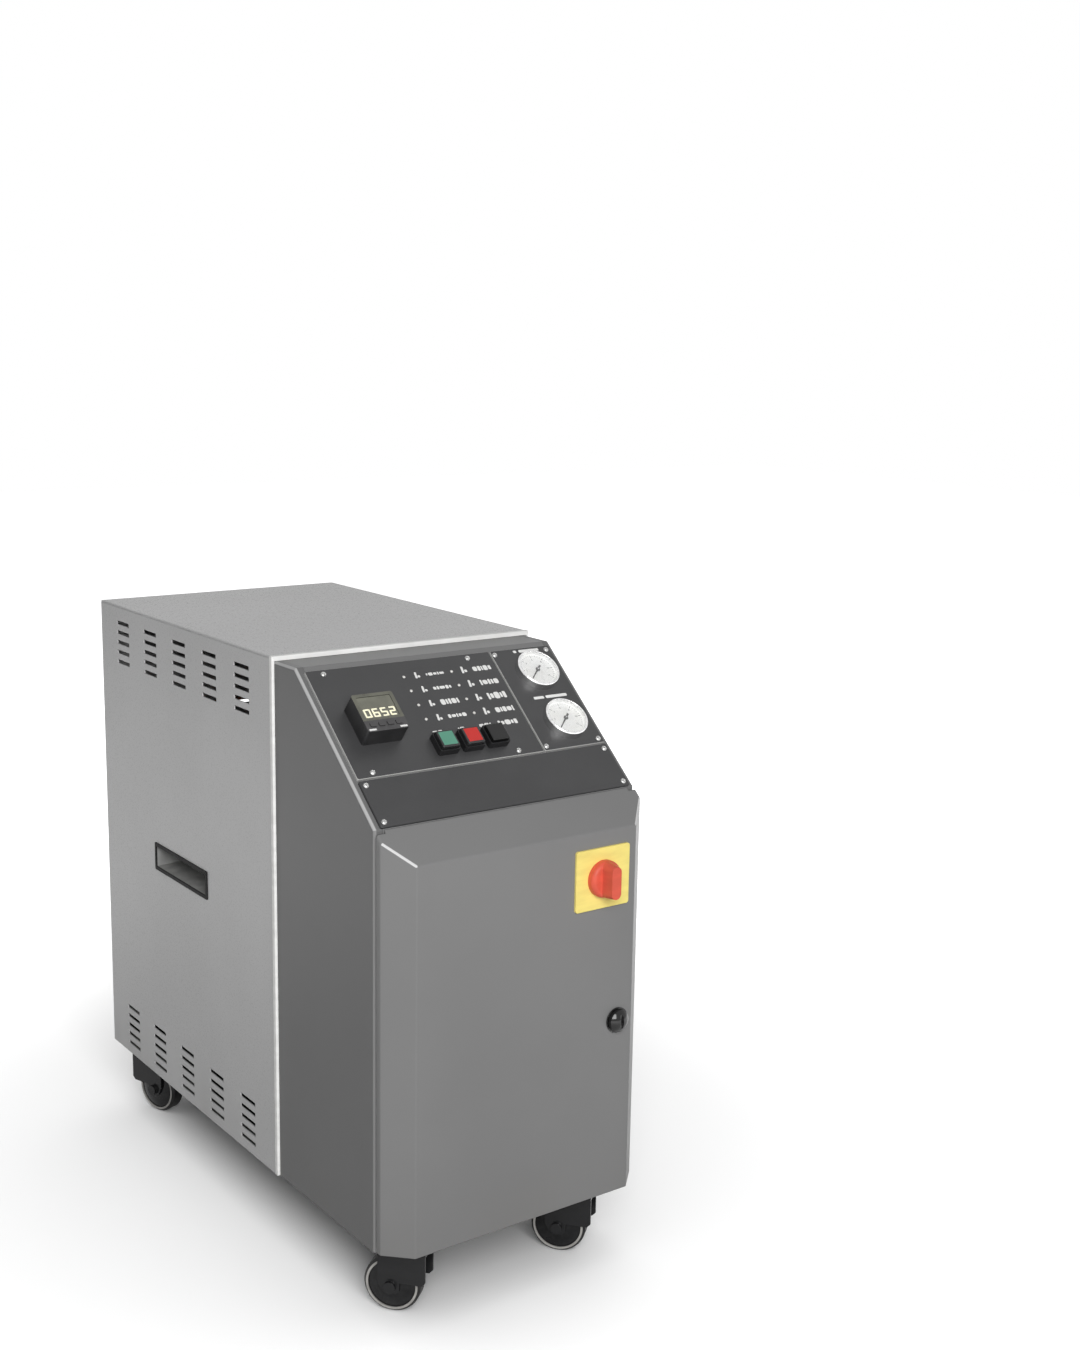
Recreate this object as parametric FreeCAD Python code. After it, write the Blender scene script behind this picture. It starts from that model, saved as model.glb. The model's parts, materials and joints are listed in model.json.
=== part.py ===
"""Water temperature control unit on four casters.

The light cabinet holds the pump, the heater tank and the pipework. The nose in front of it holds the
electrical space behind a hinged door, with a sloped console above the door. X is to the right, Y is to
the rear and Z is up. The origin is on the floor under the middle of the unit. Millimetres.
"""
import FreeCAD, Part
import math
import os

os.makedirs("parts", exist_ok=True)

V = FreeCAD.Vector
X_DIR = V(1, 0, 0)
Y_DIR = V(0, 1, 0)
Z_DIR = V(0, 0, 1)
ORIGIN = V(0, 0, 0)

# Overall sizes
SHELL_WIDTH = 330.0
SHELL_HEIGHT = 585.0
CASTER_HEIGHT = 85.0
UNIT_DEPTH = 700.0
FITTING_REACH = 26.0
SHELL_FRONT_Y = -104.0
SHEET = 1.5
NOSE_SHEET = 2.0

# Nose and console
NOSE_WIDTH = 324.0
NOSE_TOP_DROP = 5.0
CHEEK_FRONT_Y = -313.0
CHEEK_FLANGE = 10.0
CHEEK_DOOR_FLANGE = 35.0
CHEEK_BEND = 4.0
SLOPE_DEG = 40.0
DOOR_BEND_Z = 500.0
PLATE_THICK = 3.0
PLATE_HALF_WIDTH = 155.0
LOWER_PLATE_TOP = 57.0
CONTROL_PLATE_BOTTOM = 59.0
CONTROL_PLATE_TOP = 200.0
PLATE_SPLIT_X = 74.0
PLATE_GAP = 1.5

# Door and its hinge
DOOR_HALF_WIDTH = 162.0
DOOR_FACET = 26.0
DOOR_BEND = 3.0
DOOR_REAR_Y = -317.0
DOOR_BOTTOM_Z = 88.0
HEADER_LIP_Y = -313.7
HEADER_LIP_HALF = 151.0
HINGE_X = -155.5
HINGE_Y = -321.4
HINGE_HEIGHTS = (150.0, 450.0)
HINGE_PIN_R = 2.0
EAR_THICK = 3.0
EAR_R = 4.0
RUNNING_GAP = 0.10

# Main switch and lock on the door
SWITCH_X = 91.0
SWITCH_Z = 450.0
SWITCH_PLATE_WIDTH = 70.0
SWITCH_PLATE_HEIGHT = 66.0
SWITCH_PLATE_CORNER = 3.0
SWITCH_PLATE_THICK = 2.5
HANDLE_R = 20.0
HANDLE_LIFT = 0.3
SWITCH_SHAFT_R = 5.0
LOCK_X = 116.0
LOCK_Z = 287.0
LOCK_SPINDLE_R = 5.0
LOCK_BARREL_R = 9.0
LOCK_CAM_LENGTH = 36.0

# Console instruments, as (across, up the slope) from the lower edge of the plates
CONTROLLER_AT = (-108.5, 122.5)
CONTROLLER_SIZE = 48.0
CONTROLLER_STAND = 22.0
CONTROLLER_DEPTH = 75.0
BUTTON_XS = (-41.0, -10.0, 21.0)
BUTTON_UP = 85.0
BUTTON_BEZEL = 25.0
BUTTON_CAP = 21.0
GAUGE_X = 118.5
GAUGE_UPS = (163.5, 94.0)
GAUGE_R = 25.0
GAUGE_BODY_R = 22.0
GAUGE_STEM_END = -50.0
POINTER_DEG = 222.0
LAMP_XS = (-45.5, 14.6)
LAMP_UP_FIRST = 120.5
LAMP_PITCH = 19.3
LAMP_ROWS = 4
LAMP_R = 1.7

# Side panel openings
VENT_COLUMNS = 5
VENT_ROWS = 5
VENT_FIRST_Y = -38.0
VENT_COLUMN_PITCH = 80.3
VENT_ROW_PITCH = 12.2
VENT_WIDTH = 36.0
VENT_HEIGHT = 4.8
VENT_BOTTOM_ROWS_Z = (99.0, 600.0)
GRIP_Y = 128.5
GRIP_Z = 375.0
GRIP_LENGTH = 140.0
GRIP_HEIGHT = 29.0
GRIP_DEPTH = 32.0

# Casters: kingpin x and y, and the swivel angle in which they stand
FRONT_CASTER_AT = (108.0, -304.0)
FRONT_SWIVEL_DEG = -140.0
REAR_CASTER_AT = (133.0, 312.0)
REAR_SWIVEL_DEG = 19.0
CASTER_TRAIL = 22.0
CASTER_PLATE = 42.0
WHEEL_R = 31.0
RIM_HALF = 9.8
HUB_HALF = 12.0
FORK_INNER = 12.5
FORK_OUTER = 15.0
FORK_TOP_Z = 72.0
RACE_R = 16.0
KINGPIN_R = 5.5
AXLE_R = 4.0
AXLE_NUT_R = 6.5
AXLE_NUT_END = 19.0

# Water circuit
PUMP_X = -70.0
PUMP_Z = 190.0
PUMP_MID_Y = 124.0
MOTOR_R = 58.0
MOTOR_FRONT_Y = -85.0
MOTOR_REAR_Y = 80.0
SHAFT_R = 8.0
TANK_X = 70.0
TANK_Y = 124.0
TANK_R = 56.0
TANK_WALL = 3.0
TANK_FLANGE_R = 72.0
TANK_BRANCH = 6.0
TANK_TOP_Z = 472.0
PROCESS_PIPE_R = 16.7
PROCESS_BORE_R = 13.5
PROCESS_THREAD_R = 15.2
PROCESS_THREAD_DEPTH = 22.0
WATER_PIPE_R = 13.3
WATER_BORE_R = 10.0
WATER_THREAD_R = 11.9
WATER_THREAD_DEPTH = 18.0
PROCESS_PORT_Z = 190.0
WATER_PORT_Z = 300.0
COOLING_PORT_X = -112.0
DRAIN_PORT_X = 5.0
GAUGE_LINE_R = 2.0
GLAND_X = 112.0
GLAND_Z = 560.0
GLAND_BORE_R = 8.0

# Values that follow from the driving sizes
FRONT_Y = -UNIT_DEPTH / 2
REAR_Y = UNIT_DEPTH / 2
SHELL_HALF = SHELL_WIDTH / 2
NOSE_HALF = NOSE_WIDTH / 2
BOTTOM_Z = CASTER_HEIGHT
TOP_Z = CASTER_HEIGHT + SHELL_HEIGHT
NOSE_TOP_Z = TOP_Z - NOSE_TOP_DROP
LID_THICK = 2.0
LID_SKIRT = 10.0
SIDE_TOP_Z = TOP_Z - LID_THICK - 0.3
PORT_END_Y = REAR_Y + FITTING_REACH
SLOPE = math.radians(SLOPE_DEG)


def slope_z(y):
    """Height of the sloped sheet at depth y."""
    return DOOR_BEND_Z + (y - FRONT_Y) * math.tan(SLOPE)


def slope_y(z):
    """Depth of the sloped sheet at height z."""
    return FRONT_Y + (z - DOOR_BEND_Z) / math.tan(SLOPE)


CONSOLE_ORIGIN = V(0, CHEEK_FRONT_Y, slope_z(CHEEK_FRONT_Y))
CONSOLE_UP = V(0, math.cos(SLOPE), math.sin(SLOPE))
CONSOLE_OUT = V(0, -math.sin(SLOPE), math.cos(SLOPE))


# Helpers

def block(x0, x1, y0, y1, z0, z1):
    return Part.makeBox(x1 - x0, y1 - y0, z1 - z0, V(x0, y0, z0))


def rod(radius, start, end):
    return Part.makeCylinder(radius, (end - start).Length, start, end - start)


def prism(points, direction):
    """Straight extrusion of a closed polygon."""
    return Part.Face(Part.makePolygon(points + [points[0]])).extrude(direction)


def side_prism(outline, x0, x1):
    """Extrusion across the unit of an outline given as (y, z) pairs."""
    return prism([V(x0, y, z) for y, z in outline], V(x1 - x0, 0, 0))


def rounded_wire(width, height, corner, level):
    """Rounded rectangle round the Z axis at one level."""
    half_w, half_h = width / 2, height / 2
    corners = ((half_w, half_h, 0), (-half_w, half_h, 90), (-half_w, -half_h, 180), (half_w, -half_h, 270))
    edges = []
    ends = []
    for x, y, start_deg in corners:
        centre = V(x - math.copysign(corner, x), y - math.copysign(corner, y), level)
        arc = Part.makeCircle(corner, centre, Z_DIR, start_deg, start_deg + 90)
        edges.append(arc)
        ends.append((arc.Vertexes[0].Point, arc.Vertexes[1].Point))
    joined = []
    for i, arc in enumerate(edges):
        joined.append(arc)
        joined.append(Part.makeLine(ends[i][1], ends[(i + 1) % 4][0]))
    return Part.Wire(joined)


def rounded_plate(width, height, corner, bottom, top):
    """Rounded rectangular plate round the Z axis."""
    return Part.Face(rounded_wire(width, height, corner, bottom)).extrude(V(0, 0, top - bottom))


def turned(profile):
    """Solid turned round the Z axis from (radius, height) points.

    A three-number entry (radius, height, 1) is a point that an arc passes through.
    """
    edges = []
    corners = [p for p in profile if len(p) == 2]
    through = {}
    for i, p in enumerate(profile):
        if len(p) == 3:
            through[profile[i - 1]] = V(p[0], 0, p[1])
    for i, p in enumerate(corners):
        q = corners[(i + 1) % len(corners)]
        start, end = V(p[0], 0, p[1]), V(q[0], 0, q[1])
        if p in through:
            edges.append(Part.Arc(start, through[p], end).toShape())
        else:
            edges.append(Part.makeLine(start, end))
    return Part.Face(Part.Wire(edges)).revolve(ORIGIN, Z_DIR, 360)


def cap_point(radius, edge, crown):
    """Point half-way up a spherical cap that rises from (radius, edge) to the axis at the crown."""
    rise = crown - edge
    sphere_r = (radius ** 2 + rise ** 2) / (2 * rise)
    half = math.asin(radius / abs(sphere_r)) / 2
    return (abs(sphere_r) * math.sin(half), crown - sphere_r * (1 - math.cos(half)), 1)


def moved(shape, base, axis=Z_DIR, degrees=0.0):
    """Copy of a shape, turned round an axis through the origin and then shifted."""
    copy = shape.copy()
    copy.Placement = FreeCAD.Placement(base, FreeCAD.Rotation(axis, degrees)).multiply(copy.Placement)
    return copy


def along_y(shape, base):
    """Copy of a shape made round the Z axis, laid so that its Z axis points to the rear."""
    return moved(shape, base, X_DIR, -90)


def console_point(across, up, out):
    return CONSOLE_ORIGIN + X_DIR * across + CONSOLE_UP * up + CONSOLE_OUT * out


def on_console(shape, across, up, out=0.0):
    """Copy of a shape made flat, laid on the sloped sheet."""
    return moved(shape, console_point(across, up, out), X_DIR, SLOPE_DEG)


def swept(points, radius, bend):
    """Round bar along a path of straight runs with bends of one radius."""
    edges = []
    run_start = points[0]
    for before, corner, after in zip(points, points[1:], points[2:]):
        d_in = (corner - before).normalize()
        d_out = (after - corner).normalize()
        half = d_in.getAngle(d_out) / 2
        setback = bend * math.tan(half)
        arc_start = corner - d_in * setback
        arc_end = corner + d_out * setback
        inward = (d_out - d_in).normalize()
        centre = corner + inward * (bend / math.cos(half))
        edges.append(Part.makeLine(run_start, arc_start))
        edges.append(Part.Arc(arc_start, centre - inward * bend, arc_end).toShape())
        run_start = arc_end
    edges.append(Part.makeLine(run_start, points[-1]))
    section = Part.Wire(Part.makeCircle(radius, points[0], points[1] - points[0]))
    return Part.Wire(edges).makePipeShell([section], True, True)


def mirrored(shape):
    return shape.mirror(ORIGIN, X_DIR)


def fused(first, *others):
    return first.fuse(list(others)).removeSplitter()


def group(shapes):
    return Part.makeCompound(shapes)


# Cabinet shell

def make_base_pan():
    half = NOSE_HALF - NOSE_SHEET - 0.5
    front = CHEEK_FRONT_Y + NOSE_SHEET + 0.3
    rear = REAR_Y - SHEET - 0.5
    wall, rim = 2.5, 25.0
    outer = block(-half, half, front, rear, BOTTOM_Z, BOTTOM_Z + rim)
    hollow = block(-half + wall, half - wall, front + wall, rear - wall,
                   BOTTOM_Z + wall, BOTTOM_Z + rim + 1)
    return outer.cut(hollow)


def make_side_panel():
    """Left panel with folded front and rear edges, two vent fields and the hand grip opening."""
    fold = 15.0
    fold_bottom = BOTTOM_Z + 27
    outside = -SHELL_HALF
    panel = block(outside, outside + SHEET, SHELL_FRONT_Y, REAR_Y, BOTTOM_Z, SIDE_TOP_Z)
    front_fold = block(outside, outside + fold, SHELL_FRONT_Y, SHELL_FRONT_Y + SHEET, fold_bottom, SIDE_TOP_Z)
    rear_y = REAR_Y - 2 * SHEET - 0.2
    rear_fold = block(outside, outside + fold, rear_y, rear_y + SHEET, fold_bottom, SIDE_TOP_Z)
    cuts = []
    for first_z in VENT_BOTTOM_ROWS_Z:
        for column in range(VENT_COLUMNS):
            y = VENT_FIRST_Y + column * VENT_COLUMN_PITCH
            for row in range(VENT_ROWS):
                z = first_z + row * VENT_ROW_PITCH
                cuts.append(block(outside - 1, outside + SHEET + 1, y - VENT_WIDTH / 2, y + VENT_WIDTH / 2,
                                  z - VENT_HEIGHT / 2, z + VENT_HEIGHT / 2))
    cuts.append(block(outside - 1, outside + SHEET + 1, GRIP_Y - GRIP_LENGTH / 2, GRIP_Y + GRIP_LENGTH / 2,
                      GRIP_Z - GRIP_HEIGHT / 2, GRIP_Z + GRIP_HEIGHT / 2))
    return fused(panel, front_fold, rear_fold).cut(cuts)


def make_hand_grip():
    """Left moulded cup: a thin rim outside the panel and a tapered pocket behind it."""
    wall, rim, rim_thick, taper = 1.6, 2.8, 1.2, 5.0
    play, corner, rim_corner = 0.6, 2.4, 2.0
    mouth_l, mouth_h = GRIP_LENGTH - play, GRIP_HEIGHT - play

    def pocket(inset, bottom):
        mouth = rounded_wire(mouth_l - 2 * inset, mouth_h - 2 * inset, corner - inset, -rim_thick)
        floor = rounded_wire(mouth_l - taper - 2 * inset, mouth_h - taper - 2 * inset, corner - inset, bottom)
        return Part.makeLoft([mouth, floor], True)

    lip = rounded_plate(mouth_l + 2 * rim, mouth_h + 2 * rim, rim_corner, -rim_thick, 0)
    cup = fused(pocket(0, GRIP_DEPTH), lip).cut(pocket(wall, GRIP_DEPTH - wall))
    upright = moved(cup, ORIGIN, Z_DIR, 90)
    return moved(upright, V(-SHELL_HALF, GRIP_Y, GRIP_Z), Y_DIR, 90)


def make_top_cover():
    """Flat sheet that lies over the panels, with a skirt that drops inside them."""
    edge_round, play = 1.5, 0.4
    under = TOP_Z - LID_THICK
    sheet = block(-SHELL_HALF, SHELL_HALF, SHELL_FRONT_Y, REAR_Y, under, TOP_Z)
    rims = [e for e in sheet.Edges if all(abs(v.Z - TOP_Z) < 0.01 for v in e.Vertexes)]
    half = SHELL_HALF - SHEET - play
    front = SHELL_FRONT_Y + SHEET + play
    rear = REAR_Y - 2 * SHEET - 0.2 - play
    skirt = block(-half, half, front, rear, TOP_Z - LID_SKIRT, under)
    hollow = block(-half + SHEET, half - SHEET, front + SHEET, rear - SHEET, TOP_Z - LID_SKIRT - 1, under)
    return fused(sheet.makeFillet(edge_round, rims), skirt.cut(hollow))


def make_edge_trim():
    """Bright strip round the front edge of the shell, open at the bottom."""
    reach, stand, gap, edge_round = 6.0, 0.3, 0.2, 1.5
    front, rear = SHELL_FRONT_Y - reach, SHELL_FRONT_Y - 0.1
    outer = block(-SHELL_HALF - stand, SHELL_HALF + stand, front, rear, BOTTOM_Z, TOP_Z + stand)
    inner = block(-NOSE_HALF - gap, NOSE_HALF + gap, front - 1, rear + 1, BOTTOM_Z - 1, NOSE_TOP_Z + gap)
    rims = [e for e in outer.Edges
            if all(abs(v.Y - front) < 0.01 for v in e.Vertexes)
            and not all(abs(v.Z - BOTTOM_Z) < 0.01 for v in e.Vertexes)]
    return outer.makeFillet(edge_round, rims).cut(inner)


def port_places():
    """Rear ports as (x, z, pipe radius)."""
    return ((PUMP_X, PROCESS_PORT_Z, PROCESS_PIPE_R), (TANK_X, PROCESS_PORT_Z, PROCESS_PIPE_R),
            (COOLING_PORT_X, WATER_PORT_Z, WATER_PIPE_R), (DRAIN_PORT_X, WATER_PORT_Z, WATER_PIPE_R))


def make_rear_panel():
    half = SHELL_HALF - SHEET - 0.1
    front = REAR_Y - SHEET
    vent_half_width, vent_bottom = 100.0, 420.0
    panel = block(-half, half, front, REAR_Y, BOTTOM_Z, SIDE_TOP_Z)
    cuts = [rod(radius + 1.5, V(x, front - 1, z), V(x, REAR_Y + 1, z)) for x, z, radius in port_places()]
    cuts.append(rod(GLAND_BORE_R + 4, V(GLAND_X, front - 1, GLAND_Z), V(GLAND_X, REAR_Y + 1, GLAND_Z)))
    for row in range(VENT_ROWS):
        z = vent_bottom + row * 2 * VENT_ROW_PITCH
        cuts.append(block(-vent_half_width, vent_half_width, front - 1, REAR_Y + 1, z, z + VENT_HEIGHT))
    return panel.cut(cuts)


# Nose and console

def make_cheek():
    """Left cheek: a tray with its top, slope and front edges folded inward, and a wide door flange."""
    outside = -NOSE_HALF
    inner_slope = NOSE_SHEET / math.cos(SLOPE)
    outline = [(CHEEK_FRONT_Y, BOTTOM_Z), (SHELL_FRONT_Y, BOTTOM_Z), (SHELL_FRONT_Y, NOSE_TOP_Z),
               (slope_y(NOSE_TOP_Z), NOSE_TOP_Z), (CHEEK_FRONT_Y, slope_z(CHEEK_FRONT_Y))]
    tray = side_prism(outline, outside, outside + CHEEK_FLANGE)
    bends = []
    for edge in tray.Edges:
        on_outside = all(abs(v.X - outside) < 0.01 for v in edge.Vertexes)
        at_bottom = all(abs(v.Z - BOTTOM_Z) < 0.01 for v in edge.Vertexes)
        at_rear = all(abs(v.Y - SHELL_FRONT_Y) < 0.01 for v in edge.Vertexes)
        if on_outside and not at_bottom and not at_rear:
            bends.append(edge)
    tray = tray.makeFillet(CHEEK_BEND, bends)
    pocket_front = CHEEK_FRONT_Y + NOSE_SHEET
    pocket_top = NOSE_TOP_Z - NOSE_SHEET
    pocket = [(pocket_front, BOTTOM_Z - 1), (SHELL_FRONT_Y + 1, BOTTOM_Z - 1),
              (SHELL_FRONT_Y + 1, pocket_top), (slope_y(pocket_top + inner_slope), pocket_top),
              (pocket_front, slope_z(pocket_front) - inner_slope)]
    tray = tray.cut(side_prism(pocket, outside + NOSE_SHEET, outside + CHEEK_FLANGE + 1))
    flange_top = slope_z(CHEEK_FRONT_Y) - 16
    flange = block(outside + CHEEK_FLANGE - 1, outside + CHEEK_DOOR_FLANGE, CHEEK_FRONT_Y,
                   CHEEK_FRONT_Y + NOSE_SHEET, DOOR_BOTTOM_Z, flange_top)
    return fused(tray, flange)


def console_openings(clearance):
    """Cutters for the instruments, standing through the sloped sheet and the plates."""
    size = CONTROLLER_SIZE - 3 + 2 * clearance
    cutters = [on_console(rounded_plate(size, size, 1.0, -10, 10), *CONTROLLER_AT)]
    for x in BUTTON_XS:
        cutters.append(on_console(Part.makeCylinder(11 + clearance, 20, V(0, 0, -10)), x, BUTTON_UP))
    for up in GAUGE_UPS:
        cutters.append(on_console(Part.makeCylinder(GAUGE_BODY_R + clearance, 20, V(0, 0, -10)), GAUGE_X, up))
    return cutters


def make_console_bed():
    """Folded sheet between the cheeks: front lip, slope and flat top strip."""
    half = NOSE_HALF - CHEEK_FLANGE - 0.2
    lip = 14.0
    drop = NOSE_SHEET / math.cos(SLOPE)
    inner_y = CHEEK_FRONT_Y + NOSE_SHEET
    inner_top = NOSE_TOP_Z - NOSE_SHEET
    outline = [(CHEEK_FRONT_Y, slope_z(CHEEK_FRONT_Y) - lip), (CHEEK_FRONT_Y, slope_z(CHEEK_FRONT_Y)),
               (slope_y(NOSE_TOP_Z), NOSE_TOP_Z), (SHELL_FRONT_Y, NOSE_TOP_Z), (SHELL_FRONT_Y, inner_top),
               (slope_y(inner_top + drop), inner_top), (inner_y, slope_z(inner_y) - drop),
               (inner_y, slope_z(CHEEK_FRONT_Y) - lip)]
    return side_prism(outline, -half, half).cut(console_openings(0.4))


def console_plate(x0, x1, up0, up1):
    """Dark plate on the slope with rounded corners and a softened outer edge."""
    flat = rounded_plate(x1 - x0, up1 - up0, 2.0, 0, PLATE_THICK)
    rim = [e for e in flat.Edges if all(abs(v.Z - PLATE_THICK) < 0.01 for v in e.Vertexes)]
    return on_console(flat.makeChamfer(0.6, rim), (x0 + x1) / 2, (up0 + up1) / 2)


def make_control_plate():
    right = PLATE_SPLIT_X - PLATE_GAP / 2
    plate = console_plate(-PLATE_HALF_WIDTH, right, CONTROL_PLATE_BOTTOM, CONTROL_PLATE_TOP)
    return plate.cut(console_openings(0.2))


def make_gauge_plate():
    left = PLATE_SPLIT_X + PLATE_GAP / 2
    plate = console_plate(left, PLATE_HALF_WIDTH, CONTROL_PLATE_BOTTOM, CONTROL_PLATE_TOP)
    return plate.cut(console_openings(0.2))


def make_lower_plate():
    return console_plate(-PLATE_HALF_WIDTH, PLATE_HALF_WIDTH, 0, LOWER_PLATE_TOP)


def make_plate_screws():
    """Round-headed screws at the plate corners."""
    inset, control_left, control_right = 6.0, -135.0, 43.0
    left, right = -PLATE_HALF_WIDTH + inset, PLATE_HALF_WIDTH - inset
    top, bottom = CONTROL_PLATE_TOP - inset, CONTROL_PLATE_BOTTOM + inset
    gauge_left = PLATE_SPLIT_X + inset - 1
    places = [(x, up) for up in (top, bottom) for x in (control_left, control_right, gauge_left, right)]
    places += [(x, up) for up in (inset, LOWER_PLATE_TOP - inset) for x in (left, right)]
    head = turned([(0, 0), (3.2, 0), (3.0, 1.0), cap_point(3.0, 1.0, 1.9), (0, 1.9)])
    return group([on_console(head, x, up, PLATE_THICK) for x, up in places])


def make_bulkhead():
    half = NOSE_HALF - NOSE_SHEET - 3.2
    front = SHELL_FRONT_Y - 4
    plate = block(-half, half, front, front + SHEET, BOTTOM_Z + 2.6, NOSE_TOP_Z - NOSE_SHEET - 0.5)
    cuts = [rod(GAUGE_LINE_R + 1.5, V(GAUGE_X, front - 1, z), V(GAUGE_X, front + SHEET + 1, z))
            for z in gauge_line_heights()]
    return plate.cut(cuts)


# Door with its hinge, main switch and lock

def door_body(inset, rear_y):
    """Door volume under the slope with a flat facet on each front corner, drawn in by a wall thickness."""
    half = DOOR_HALF_WIDTH - inset
    facet = DOOR_FACET - inset * (2 - math.sqrt(2))
    front = FRONT_Y + inset
    bottom = DOOR_BOTTOM_Z + inset
    height = 500.0
    plan = [(-half, rear_y), (-half, front + facet), (-half + facet, front),
            (half - facet, front), (half, front + facet), (half, rear_y)]
    tall = prism([V(x, y, bottom) for x, y in plan], V(0, 0, height))
    drop = inset / math.cos(SLOPE)
    low_y, high_y = FRONT_Y - 30, CHEEK_FRONT_Y + 30
    above = [(low_y, slope_z(low_y) - drop), (high_y, slope_z(high_y) - drop),
             (high_y, 2 * height), (low_y, 2 * height)]
    return tall.cut(side_prism(above, -NOSE_HALF - 20, NOSE_HALF + 20))


def make_front_door():
    """Folded tray with its bends rounded, and a lip that carries the slope up to the lower plate."""
    outer = door_body(0, DOOR_REAR_Y)
    bends = []
    for edge in outer.Edges:
        at_rear = all(abs(v.Y - DOOR_REAR_Y) < 0.01 for v in edge.Vertexes)
        at_bottom = all(abs(v.Z - DOOR_BOTTOM_Z) < 0.01 for v in edge.Vertexes)
        if not at_rear and not at_bottom:
            bends.append(edge)
    tray = outer.makeFillet(DOOR_BEND, bends).cut(door_body(NOSE_SHEET, DOOR_REAR_Y + 1))
    drop = NOSE_SHEET / math.cos(SLOPE)
    root_y = DOOR_REAR_Y - 1
    lip = side_prism([(root_y, slope_z(root_y)), (HEADER_LIP_Y, slope_z(HEADER_LIP_Y)),
                      (HEADER_LIP_Y, slope_z(HEADER_LIP_Y) - drop), (root_y, slope_z(root_y) - drop)],
                     -HEADER_LIP_HALF, HEADER_LIP_HALF)
    through = Y_DIR * 6
    switch_start = V(SWITCH_X, FRONT_Y - 1, SWITCH_Z)
    lock_start = V(LOCK_X, FRONT_Y - 1, LOCK_Z)
    switch_hole = rod(SWITCH_SHAFT_R + 1, switch_start, switch_start + through)
    lock_hole = rod(LOCK_BARREL_R + 0.2, lock_start, lock_start + through)
    return fused(tray, lip).cut([switch_hole, lock_hole])


def make_frame_hinges():
    """Brackets on the left door flange. The ear reaches round the swinging edge of the door."""
    leaf_left, leaf_right = HINGE_X + 12.5, -NOSE_HALF + CHEEK_DOOR_FLANGE
    neck_rear = HINGE_Y + 2.3
    brackets = []
    for z in HINGE_HEIGHTS:
        top = z + EAR_THICK
        leaf = block(leaf_left, leaf_right, CHEEK_FRONT_Y - 3, CHEEK_FRONT_Y, z - 12, z + 15)
        neck = block(HINGE_X, leaf_right, HINGE_Y - EAR_R, neck_rear, z, top)
        root = block(leaf_left, leaf_right, neck_rear - 1, CHEEK_FRONT_Y, z, top)
        eye = rod(EAR_R, V(HINGE_X, HINGE_Y, z), V(HINGE_X, HINGE_Y, top))
        hole = rod(HINGE_PIN_R + RUNNING_GAP, V(HINGE_X, HINGE_Y, z - 1), V(HINGE_X, HINGE_Y, top + 1))
        brackets.append(fused(leaf, neck, root, eye).cut(hole))
    return group(brackets)


def make_door_ears():
    """Ears inside the door, from the front sheet back to the hinge pins."""
    inside = door_body(NOSE_SHEET, DOOR_REAR_Y)
    ears = []
    for z in HINGE_HEIGHTS:
        bottom = z + EAR_THICK + 0.3
        top = bottom + EAR_THICK
        arm = block(-DOOR_HALF_WIDTH, HINGE_X + EAR_R, FRONT_Y, HINGE_Y, bottom, top)
        eye = rod(EAR_R, V(HINGE_X, HINGE_Y, bottom), V(HINGE_X, HINGE_Y, top))
        hole = rod(HINGE_PIN_R, V(HINGE_X, HINGE_Y, bottom - 1), V(HINGE_X, HINGE_Y, top + 1))
        ears.append(fused(arm.common(inside), eye).cut(hole))
    return group(ears)


def make_hinge_pins():
    pins = []
    for z in HINGE_HEIGHTS:
        low, high = z - EAR_THICK, z + 2 * EAR_THICK + 2
        pins.append(rod(HINGE_PIN_R, V(HINGE_X, HINGE_Y, low), V(HINGE_X, HINGE_Y, high)))
    return group(pins)


def make_switch_plate():
    plate = rounded_plate(SWITCH_PLATE_WIDTH, SWITCH_PLATE_HEIGHT, SWITCH_PLATE_CORNER, 0, SWITCH_PLATE_THICK)
    plate = plate.cut(Part.makeCylinder(SWITCH_SHAFT_R + 1, 10, V(0, 0, -1)))
    return along_y(plate, V(SWITCH_X, FRONT_Y - SWITCH_PLATE_THICK, SWITCH_Z))


def make_switch_handle():
    """Turned base with a tapered finger grip across it, and the shaft to the switch."""
    base_top = 9.0
    base = turned([(0, 0), (HANDLE_R, 0), (HANDLE_R, 5), (HANDLE_R - 1.5, 7.5, 1),
                   (HANDLE_R - 5, base_top), (0, base_top)])
    reach = FITTING_REACH - SWITCH_PLATE_THICK - HANDLE_LIFT
    foot = rounded_wire(17, 2 * HANDLE_R, 8.4, 4)
    crest = rounded_wire(12, 2 * HANDLE_R - 5, 5.9, reach)
    grip = Part.makeLoft([foot, crest], True)
    shaft = Part.makeCylinder(SWITCH_SHAFT_R, 16, V(0, 0, -14))
    handle = fused(base, grip, shaft)
    return moved(handle, V(SWITCH_X, FRONT_Y - SWITCH_PLATE_THICK - HANDLE_LIFT, SWITCH_Z), X_DIR, 90)


def make_switch_body():
    """Switch block behind the door with stepped terminal shelves on both sides."""
    depth, width, height = 52.0, 52.0, 52.0
    front = FRONT_Y + NOSE_SHEET
    steps = [(0, -height / 2), (20, -height / 2), (20, -height / 2 + 9), (depth, -height / 2 + 9),
             (depth, height / 2 - 9), (20, height / 2 - 9), (20, height / 2), (0, height / 2)]
    outline = [(front + y, SWITCH_Z + z) for y, z in steps]
    body = side_prism(outline, SWITCH_X - width / 2, SWITCH_X + width / 2)
    socket_start = V(SWITCH_X, front - 1, SWITCH_Z)
    socket = rod(SWITCH_SHAFT_R + RUNNING_GAP, socket_start, socket_start + Y_DIR * 13)
    slots = []
    for x in (-17.0, 0.0, 17.0):
        for sign in (-1, 1):
            z = SWITCH_Z + sign * (height / 2 - 4)
            slots.append(rod(3.5, V(SWITCH_X + x, front + 14, z), V(SWITCH_X + x, front + 21, z)))
    return body.cut([socket] + slots)


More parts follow.
